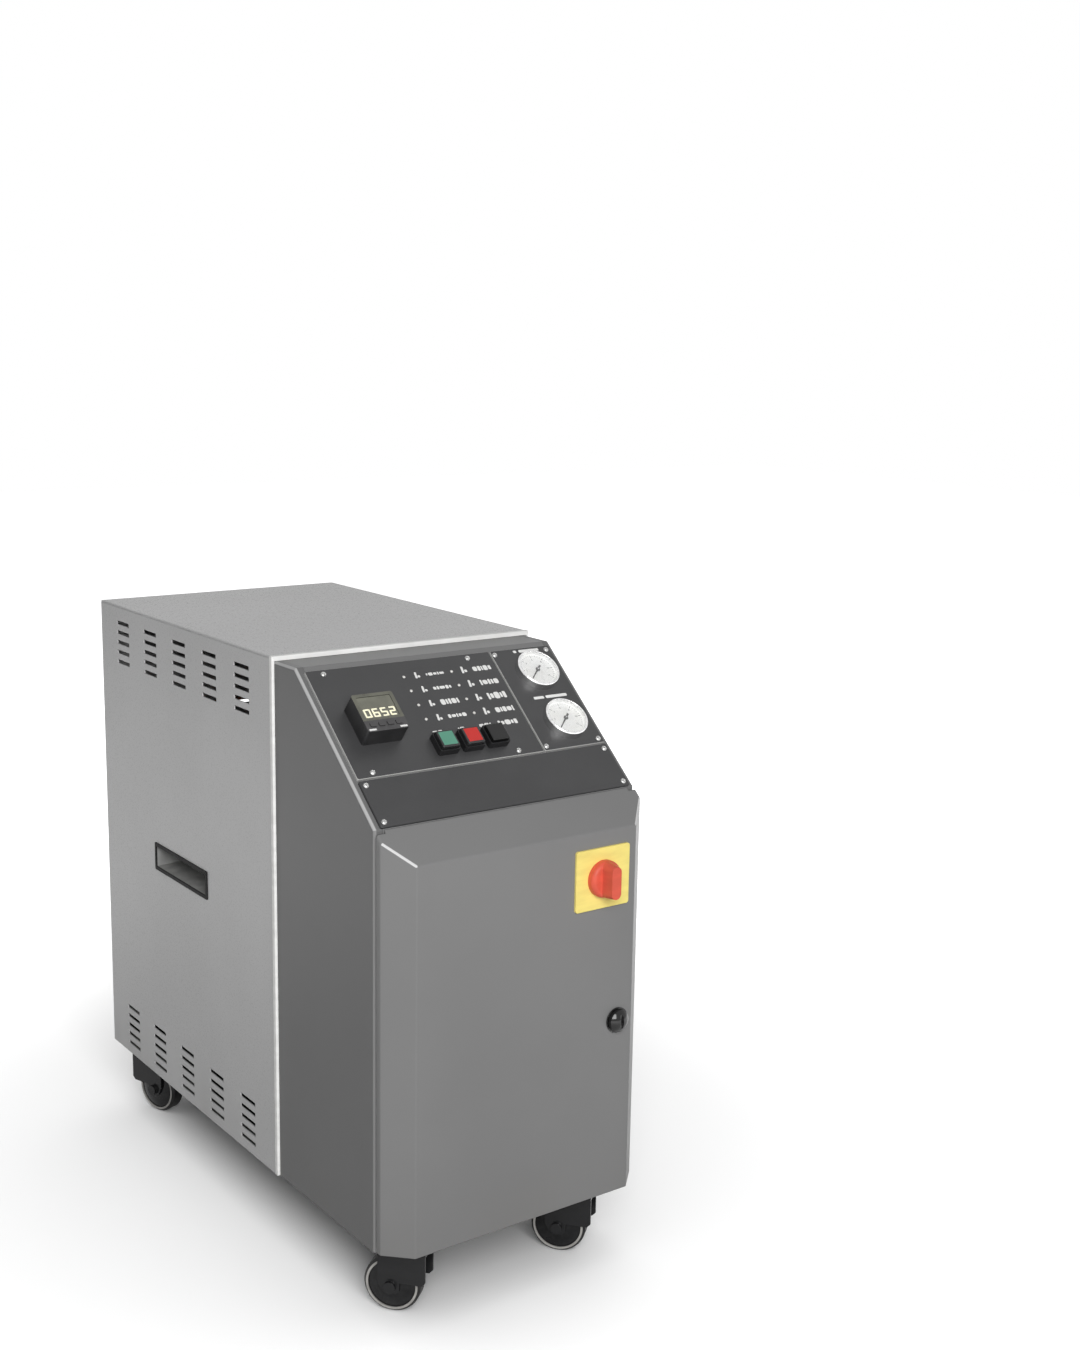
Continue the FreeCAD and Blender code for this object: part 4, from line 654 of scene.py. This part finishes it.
def clear_window():
    """Clear window: mostly transparent, with a few wiped smears that show a little more."""
    material, shader, place = begin("gauge_window")
    smear = cloud(stretched(place, (120.0, 40.0, 40.0)), 1.0, 4.0).ramp(0.5, 0.8)
    fill(shader, {"Base Color": tone(246, 248, 248), "Alpha": 0.10 + 0.06 * smear,
                  "Roughness": 0.02 + 0.06 * smear})
    return material


def display_glass():
    """Grey-green liquid crystal pane, with a slow drift of tone and fine ruling."""
    material, shader, place = begin("display_glass")
    ruling = cloud(stretched(place, (2400.0, 60.0, 60.0)), 1.0, 1.0)
    drift = cloud(place, 60.0, 3.0)
    pane = blend(drift.ramp(0.25, 0.75), tone(98, 98, 84), tone(120, 120, 104))
    fill(shader, {"Base Color": blend(ruling * 0.25, pane, tone(70, 72, 62)),
                  "Roughness": 0.12 + 0.12 * drift, "Coat Weight": 0.5, "Coat Roughness": 0.03})
    return material


def lamp_lens():
    """Small clear lamp caps, milky inside, unlit."""
    material, shader, place = begin("lamp_lens")
    milk = cloud(place, 800.0, 2.0)
    fill(shader, {"Base Color": blend(milk, tone(206, 204, 200), tone(232, 230, 226)),
                  "Roughness": 0.18 + 0.1 * milk, "Coat Weight": 0.5})
    return material


dress(dial_white(), "gauge_dials")
dress(clear_window(), "gauge_lenses")
dress(display_glass(), "controller_window")
dress(lamp_lens(), "status_lamps")
dress(gloss_black, "upper_gauge_pointer", "lower_gauge_pointer")

# %% [markdown]
# ## Print on the console
# The plates carry white marks: a short sign and a row of dashes beside each lamp, and longer dashes over
# the gauges and the buttons. They are plain dashes here and spell nothing. Each dash is a flat
# eight-sided shape, a rectangle with its corners cut, so all of them can be worked out at once: one array
# of middles and sizes times one array of corner signs. Painting them in the plate's material would also
# do, but a mesh stays sharp at any distance.

# %% Dashes on a slope
CONSOLE_FOOT = np.array((0.0, -0.313, 0.5 + 0.037 * math.tan(SLOPE)))
CONSOLE_RISE = np.array((0.0, math.cos(SLOPE), math.sin(SLOPE)))
CUT_SHARE = 0.45
DASH_PITCH, DASH_GAP = 4.6, 0.9
CORNER_SIGN = np.array(((1, -1), (1, 1), (1, 1), (-1, 1), (-1, 1), (-1, -1), (-1, -1), (1, -1)))
CORNER_TRIM = np.array(((0, 1), (0, 1), (1, 0), (1, 0), (0, 1), (0, 1), (1, 0), (1, 0)))


def on_console(across, rise, lift):
    """Places in metres for distances in millimetres across the console, up it and out of it."""
    across, rise, lift = np.broadcast_arrays(across, rise, lift)
    steps = np.stack((across, rise, lift), -1) / 1000.0
    return CONSOLE_FOOT + steps @ np.stack(((1.0, 0.0, 0.0), CONSOLE_RISE, CONSOLE_OUT))


def make_piece(name, points, faces, finish, body):
    """A mesh piece that rides on a body and has one finish."""
    mesh = bpy.data.meshes.new(name)
    mesh.from_pydata(points.reshape(-1, 3).tolist(), [], faces)
    mesh.materials.append(finish)
    piece = bpy.data.objects.new(name, mesh)
    bpy.context.scene.collection.objects.link(piece)
    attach(piece, body)
    return piece


def dashes(name, marks, lift, finish):
    """Flat marks from rows of (across, rise, width, height, turn in degrees).

    A corner is the middle plus the half size times its sign, less the cut at that corner, and turned in
    the plane.
    """
    marks = np.array(marks, float)
    half = marks[:, None, 2:4] / 2
    cut = CUT_SHARE * half.min(axis=2, keepdims=True)
    flat = CORNER_SIGN * (half - CORNER_TRIM * cut)
    turn = np.radians(marks[:, 4])[:, None]
    x = flat[..., 0] * np.cos(turn) - flat[..., 1] * np.sin(turn) + marks[:, None, 0]
    y = flat[..., 0] * np.sin(turn) + flat[..., 1] * np.cos(turn) + marks[:, None, 1]
    faces = np.arange(8 * len(marks)).reshape(-1, 8).tolist()
    return make_piece(name, on_console(x, y, lift), faces, finish, "cabinet")


def dash_row(start, end, rise, height, seed):
    """A row of dashes that fills a length. Their widths follow a sine: uneven, but always the same."""
    count = max(2, int((end - start) / DASH_PITCH))
    share = 1.0 + 0.45 * np.sin(2.1 * np.arange(count) + 1.7 * seed)
    edges = start + (end - start) * np.concatenate(((0.0,), np.cumsum(share))) / share.sum()
    tall = height * (0.86 + 0.14 * np.cos(3.3 * np.arange(count) + seed))
    middles = (edges[:-1] + edges[1:]) / 2
    widths = np.diff(edges) - DASH_GAP
    return [(x, rise, w, h, 0.0) for x, w, h in zip(middles, widths, tall)]


# %% Lay out the print
PLATE_FACE = 3.0
PRINT_LIFT = 0.06
SIGN_LEAN_DEG = -8.0
LAMP_RISES = 120.5 + 19.3 * np.arange(4)
# A stroke or spot is (across, rise above its lamp, width, height), and a mark over a gauge is the same
# with its whole rise. A row over the buttons is (start, end, height, seed of its widths).
LEFT_COLUMN = {"stroke": (-30.5, 0.5, 2.6, 8.4), "spot": (-27.4, -1.4, 3.0, 3.0),
               "row": (-18.5, 5.0), "heights": (5.0, 8.0, 5.0, 4.0), "seed": 0}
RIGHT_COLUMN = {"stroke": (28.6, 0.5, 2.8, 9.4), "spot": (32.2, -1.2, 3.4, 3.4),
                "row": (41.5, 66.0), "heights": (7.4, 9.0, 7.6, 7.4), "seed": 5}
OVER_BUTTONS_RISE = 103.0
OVER_BUTTONS = ((-46.5, -33.5, 3.6, 2), (-15.0, -6.0, 3.6, 3), (12.0, 28.0, 5.4, 4), (36.0, 61.5, 6.4, 6))
OVER_GAUGES = ((106.6, 195.4, 4.4, 3.6), (125.5, 195.4, 27.0, 3.8),
               (104.0, 129.0, 13.6, 3.6), (127.5, 129.0, 28.5, 3.8))


def lamp_label(column, row, rise):
    """The marks beside one lamp: a leaning stroke and a spot, then a row of dashes."""
    sign = []
    for piece, lean in (("stroke", SIGN_LEAN_DEG), ("spot", 0.0)):
        across, above, width, height = column[piece]
        sign.append((across, rise + above, width, height, lean))
    return sign + dash_row(*column["row"], rise, column["heights"][row], row + column["seed"])


marks = []
for row, rise in enumerate(LAMP_RISES):
    marks += lamp_label(LEFT_COLUMN, row, rise) + lamp_label(RIGHT_COLUMN, row, rise)
for start, end, height, seed in OVER_BUTTONS:
    marks += dash_row(start, end, OVER_BUTTONS_RISE, height, seed)
marks += [(*mark, 0.0) for mark in OVER_GAUGES]


def print_white():
    """Screen print: opaque white ink with thin spots where the plate's grain shows through."""
    material, shader, place = begin("print_white")
    thin = cloud(place, 1400.0, 3.0)
    fill(shader, {"Base Color": blend(thin.ramp(0.60, 0.85), tone(244, 244, 242), tone(190, 190, 188)),
                  "Roughness": 0.42 + 0.2 * thin})
    return material


white_ink = print_white()
dashes("console_print", marks, PLATE_FACE + PRINT_LIFT, white_ink)
print(len(marks), "white dashes")

# %% [markdown]
# ## Push buttons
# A button keeps its colour to a lens on its top, and the cap's sides around it are painted near black as
# painted shade. Both share one solid, so the finish asks two things of a point: does the surface look out
# of the console there, and is it close to the middle of the cap?

# %% Lens in a cap
BUTTON_RISE = 85.0
GREEN_ACROSS, RED_ACROSS = -41.0, -10.0
LENS_HALF = 0.0084
LENS_EDGE = 0.0003


def lens_button(name, colour, across):
    """Colour where both offsets from the cap's middle, along the console, are less than half a lens."""
    material, shader, place = begin(name)
    middle = on_console(across, BUTTON_RISE, PLATE_FACE).tolist()
    offset = place.node("VectorMath", {"operation": "SUBTRACT"}, {0: place, 1: middle})
    ways = ((1.0, 0.0, 0.0), CONSOLE_RISE.tolist())
    reach = [place.math("ABSOLUTE", dot(place, offset, way)) for way in ways]
    inside = 1 - beyond(place.math("MAXIMUM", *reach), LENS_HALF, LENS_EDGE)
    lens_mask = inside * facing(place, CONSOLE_OUT).ramp(0.80, 0.95)
    handled = cloud(place, 60.0, 4.0)
    lens_colour = blend(handled.ramp(0.3, 0.75), scaled(colour, 0.92), scaled(colour, 1.06))
    # Painted shade: the cap's sides and rim are near black, with the lens colour only on its top.
    cap_shade_colour = blend(handled.ramp(0.3, 0.75), tone(26, 26, 27), tone(38, 38, 39))
    fill(shader, {"Base Color": blend(lens_mask, cap_shade_colour, lens_colour),
                  "Roughness": 0.36 + 0.12 * handled - 0.10 * lens_mask})
    return material


dress(lens_button("button_green", tone(90, 156, 132), GREEN_ACROSS), "green_button")
dress(lens_button("button_red", tone(200, 40, 34), RED_ACROSS), "red_button")

# %% [markdown]
# ## Dials
# A dial has 31 division lines over about three quarters of a turn, every fifth one longer and bolder, and
# plain numbers inside them. The lines are the same dashes, placed round a circle and turned to point at
# its middle.

# %% Dial lines and numbers
GAUGE_ACROSS = 118.5
GAUGE_RISES = {"upper": 163.5, "lower": 94.0}
DIAL_FACE = 8.0
SWEEP_START_DEG, SWEEP_DEG = 222.0, -264.0
ROUND_LINES, BOLD_EVERY = 31, 5
LINES_OUTER_R = 20.6
BOLD_LENGTH, FINE_LENGTH = 3.6, 2.0
BOLD_WIDTH, FINE_WIDTH = 0.55, 0.30
NUMBERS_R, NUMBER_SIZE, NUMBER_STEP = 14.2, 3.4, 2
INK_LIFT = 0.05


def dial_ink():
    """Dark printing ink, very slightly uneven."""
    material, shader, place = begin("dial_ink")
    patchy = cloud(place, 900.0, 2.0)
    fill(shader, {"Base Color": blend(patchy, tone(38, 38, 40), tone(66, 66, 68)),
                  "Roughness": 0.5 + 0.1 * patchy})
    return material


dark_ink = dial_ink()
angles = np.radians(SWEEP_START_DEG + SWEEP_DEG * np.linspace(0, 1, ROUND_LINES))
bold = np.arange(ROUND_LINES) % BOLD_EVERY == 0
length = np.where(bold, BOLD_LENGTH, FINE_LENGTH)
middle_r = LINES_OUTER_R - length / 2
width = np.where(bold, BOLD_WIDTH, FINE_WIDTH)
for name, rise in GAUGE_RISES.items():
    lines = np.stack((GAUGE_ACROSS + middle_r * np.cos(angles), rise + middle_r * np.sin(angles),
                      length, width, np.degrees(angles)), -1)
    dashes(name + "_dial_lines", lines, DIAL_FACE + INK_LIFT, dark_ink)


def number(name, text, size, across, rise, lift, finish):
    """A short number as a flat mesh on the console, centred on its place."""
    curve = bpy.data.curves.new(name, "FONT")
    curve.body = text
    curve.size = size / 1000.0
    curve.align_x = "CENTER"
    curve.align_y = "CENTER"
    curve.resolution_u = 3
    holder = bpy.data.objects.new(name + "_outline", curve)
    mesh = bpy.data.meshes.new_from_object(holder)
    bpy.data.objects.remove(holder)
    flat = np.empty(3 * len(mesh.vertices))
    mesh.vertices.foreach_get("co", flat)
    flat = flat.reshape(-1, 3) * 1000.0
    placed = on_console(across + flat[:, 0], rise + flat[:, 1], lift)
    mesh.vertices.foreach_set("co", placed.ravel())
    mesh.update()
    mesh.materials.clear()
    mesh.materials.append(finish)
    piece = bpy.data.objects.new(name, mesh)
    bpy.context.scene.collection.objects.link(piece)
    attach(piece, "cabinet")


for name, rise in GAUGE_RISES.items():
    for step, angle in enumerate(angles[bold]):
        across = GAUGE_ACROSS + NUMBERS_R * math.cos(angle)
        up_dial = rise + NUMBERS_R * math.sin(angle)
        number(f"{name}_dial_number_{step}", str(NUMBER_STEP * step), NUMBER_SIZE, across, up_dial,
               DIAL_FACE + INK_LIFT, dark_ink)
print(ROUND_LINES, "lines and", int(bold.sum()), "numbers on each dial")

# %% [markdown]
# ## The controller's face
# The front of the controller is a smoky olive foil that runs down to the row of keys, so its finish
# changes with the way up the console. The display shows a bright number low on the pane, and two painted
# highlights, small white marks, sit in the lower corners of the case. A digit on such a display is made of
# seven bars, so a table of which bars are lit is all that a number needs.

# %% Seven-bar digits, foil and painted corner highlights
CONTROLLER_ACROSS, CONTROLLER_RISE = -108.5, 122.5
PANE_FACE = 24.4
FRONT_FACE = 25.0
FOIL_END = 112.5
FOIL_EDGE = 0.0004
DISPLAY_NUMBER = "0652"
BAR_LONG, BAR_WIDE, DIGIT_PITCH, DIGIT_DROP = 6.0, 1.9, 9.7, 0.7
GLINT_OUT, GLINT_DROP, GLINT_WIDE, GLINT_HIGH = 18.0, 21.6, 8.4, 2.2
SEVEN_BARS = np.array(((0, 4.6, 1), (0, 0, 1), (0, -4.6, 1),
                       (-2.9, 2.3, 0), (2.9, 2.3, 0), (-2.9, -2.3, 0), (2.9, -2.3, 0)))
LIT_BARS = {"0": (0, 2, 3, 4, 5, 6), "5": (0, 1, 2, 3, 6), "6": (0, 1, 2, 3, 5, 6), "2": (0, 1, 2, 4, 5)}


def display_glow():
    """Pale lit bars, a little uneven in brightness."""
    material, shader, place = begin("display_glow")
    flicker = cloud(place, 500.0, 2.0)
    glow = blend(flicker, tone(232, 228, 196), tone(250, 247, 224))
    fill(shader, {"Base Color": glow, "Roughness": 0.3 + 0.1 * flicker,
                  "Emission Color": glow, "Emission Strength": 0.35})
    return material


def controller_foil():
    """Black case with a smoky olive front that ends above the keys."""
    material, shader, place = begin("controller_foil")
    foil_end = float(on_console(0.0, FOIL_END, 0.0) @ CONSOLE_RISE)
    above = beyond(dot(place, place, CONSOLE_RISE.tolist()), foil_end, FOIL_EDGE)
    front = facing(place, CONSOLE_OUT).ramp(0.80, 0.95)
    smoke = cloud(place, 70.0, 3.0)
    foil = blend(smoke.ramp(0.3, 0.7), tone(92, 92, 82), tone(108, 108, 96))
    strip = blend(smoke.ramp(0.3, 0.7), tone(62, 61, 62), tone(76, 75, 76))
    case = blend(smoke.ramp(0.3, 0.7), tone(26, 26, 27), tone(36, 36, 37))
    fill(shader, {"Base Color": blend(front, case, blend(above, strip, foil)),
                  "Roughness": 0.40 + 0.10 * smoke - 0.16 * front * above})
    return material


dress(controller_foil(), "temperature_controller")
lit = []
for place_no, digit in enumerate(DISPLAY_NUMBER):
    from_middle_place = place_no - (len(DISPLAY_NUMBER) - 1) / 2
    for bar in LIT_BARS[digit]:
        x, y, lying = SEVEN_BARS[bar]
        size = (BAR_LONG, BAR_WIDE) if lying else (BAR_WIDE, BAR_LONG)
        lit.append((CONTROLLER_ACROSS + DIGIT_PITCH * from_middle_place + x, CONTROLLER_RISE - DIGIT_DROP + y,
                    *size, 0.0))
dashes("display_digits", lit, PANE_FACE + INK_LIFT, display_glow())
# Painted highlights: two small white marks in the lower corners of the case stand for glints.
corner_glints = [(CONTROLLER_ACROSS + x, CONTROLLER_RISE - GLINT_DROP, GLINT_WIDE, GLINT_HIGH, 0.0)
        for x in (-GLINT_OUT, GLINT_OUT)]
dashes("controller_corner_glints", corner_glints, FRONT_FACE + INK_LIFT, white_ink)
print(len(lit), "lit bars and", len(corner_glints), "corner_glints")

# %% [markdown]
# ## Screws
# The plates are held by round-headed screws with a cross recess. A head is a dome over a disc, less the
# cross: the height is a function of the radius and the angle, so one grid of both gives the whole
# surface. The solids have plain domes in these places, and the new heads stand for them.

# %% Cross-head screws
SCREW_PLACES = np.array([(x, y) for y in (194.0, 65.0) for x in (-135.0, 43.0, 79.0, 149.0)]
                        + [(x, y) for y in (6.0, 51.0) for x in (-149.0, 149.0)])
HEAD_RADIUS, HEAD_RISE, RECESS = 3.2, 1.9, 0.9
HEAD_RINGS, HEAD_SPOKES, CENTRE_SHARE = 7, 24, 0.04
ARM_WIDTH, ARM_REACH = 0.34, 0.62


def screw_heads(places):
    """Domes with a cross cut in them.

    Height is the rise times the square root of one less the square of the radius share, less a recess
    where the angle lies near one of the four arms and the radius share is below their reach.
    """
    rings, spokes = HEAD_RINGS, HEAD_SPOKES
    turns = np.arange(spokes) * 2 * np.pi / spokes
    share, angle = np.meshgrid(np.linspace(CENTRE_SHARE, 1.0, rings), turns, indexing="ij")
    in_arm = (np.abs(np.sin(2 * angle)) * share < ARM_WIDTH) & (share < ARM_REACH)
    height = HEAD_RISE * np.sqrt(np.clip(1.0 - share ** 2, 0.0, 1.0)) - RECESS * in_arm
    across = places[:, 0, None, None] + HEAD_RADIUS * share * np.cos(angle)
    rise = places[:, 1, None, None] + HEAD_RADIUS * share * np.sin(angle)
    points = on_console(across, rise, PLATE_FACE + height)
    ring, spoke = np.meshgrid(np.arange(rings - 1), np.arange(spokes), indexing="ij")
    here = ring * spokes + spoke
    beside = ring * spokes + (spoke + 1) % spokes
    quads = np.stack((here, here + spokes, beside + spokes, beside), -1).reshape(-1, 4)
    first = rings * spokes * np.arange(len(places))
    sides = (quads + first[:, None, None]).reshape(-1, 4)
    middles = np.arange(spokes) + first[:, None]
    faces = sides.tolist() + middles.tolist()
    return make_piece("cross_screws", points, faces, screw_zinc, "cabinet")


screw_zinc = metal("screw_zinc", tone(182, 182, 181), 0.26, EVEN,
                   pitted=0.05, stained=0.15, stain=tone(130, 130, 132))
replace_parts(screw_heads(SCREW_PLACES), "plate_screws")
print(len(SCREW_PLACES), "screws")

# %% [markdown]
# ## Looking back
# Every finish of this lesson has noise in it, so a solid whose material has none was forgotten. Only the
# domes that the new screws replace may turn up there.

# %% Solids without a finish
noisy = {m.name for m in bpy.data.materials if m.use_nodes and m.node_tree.nodes.get("Noise Texture")}
plain = [name for name, solid in nodes.items() if solid.data.materials[0].name not in noisy]
print("solids without a finish:", plain)
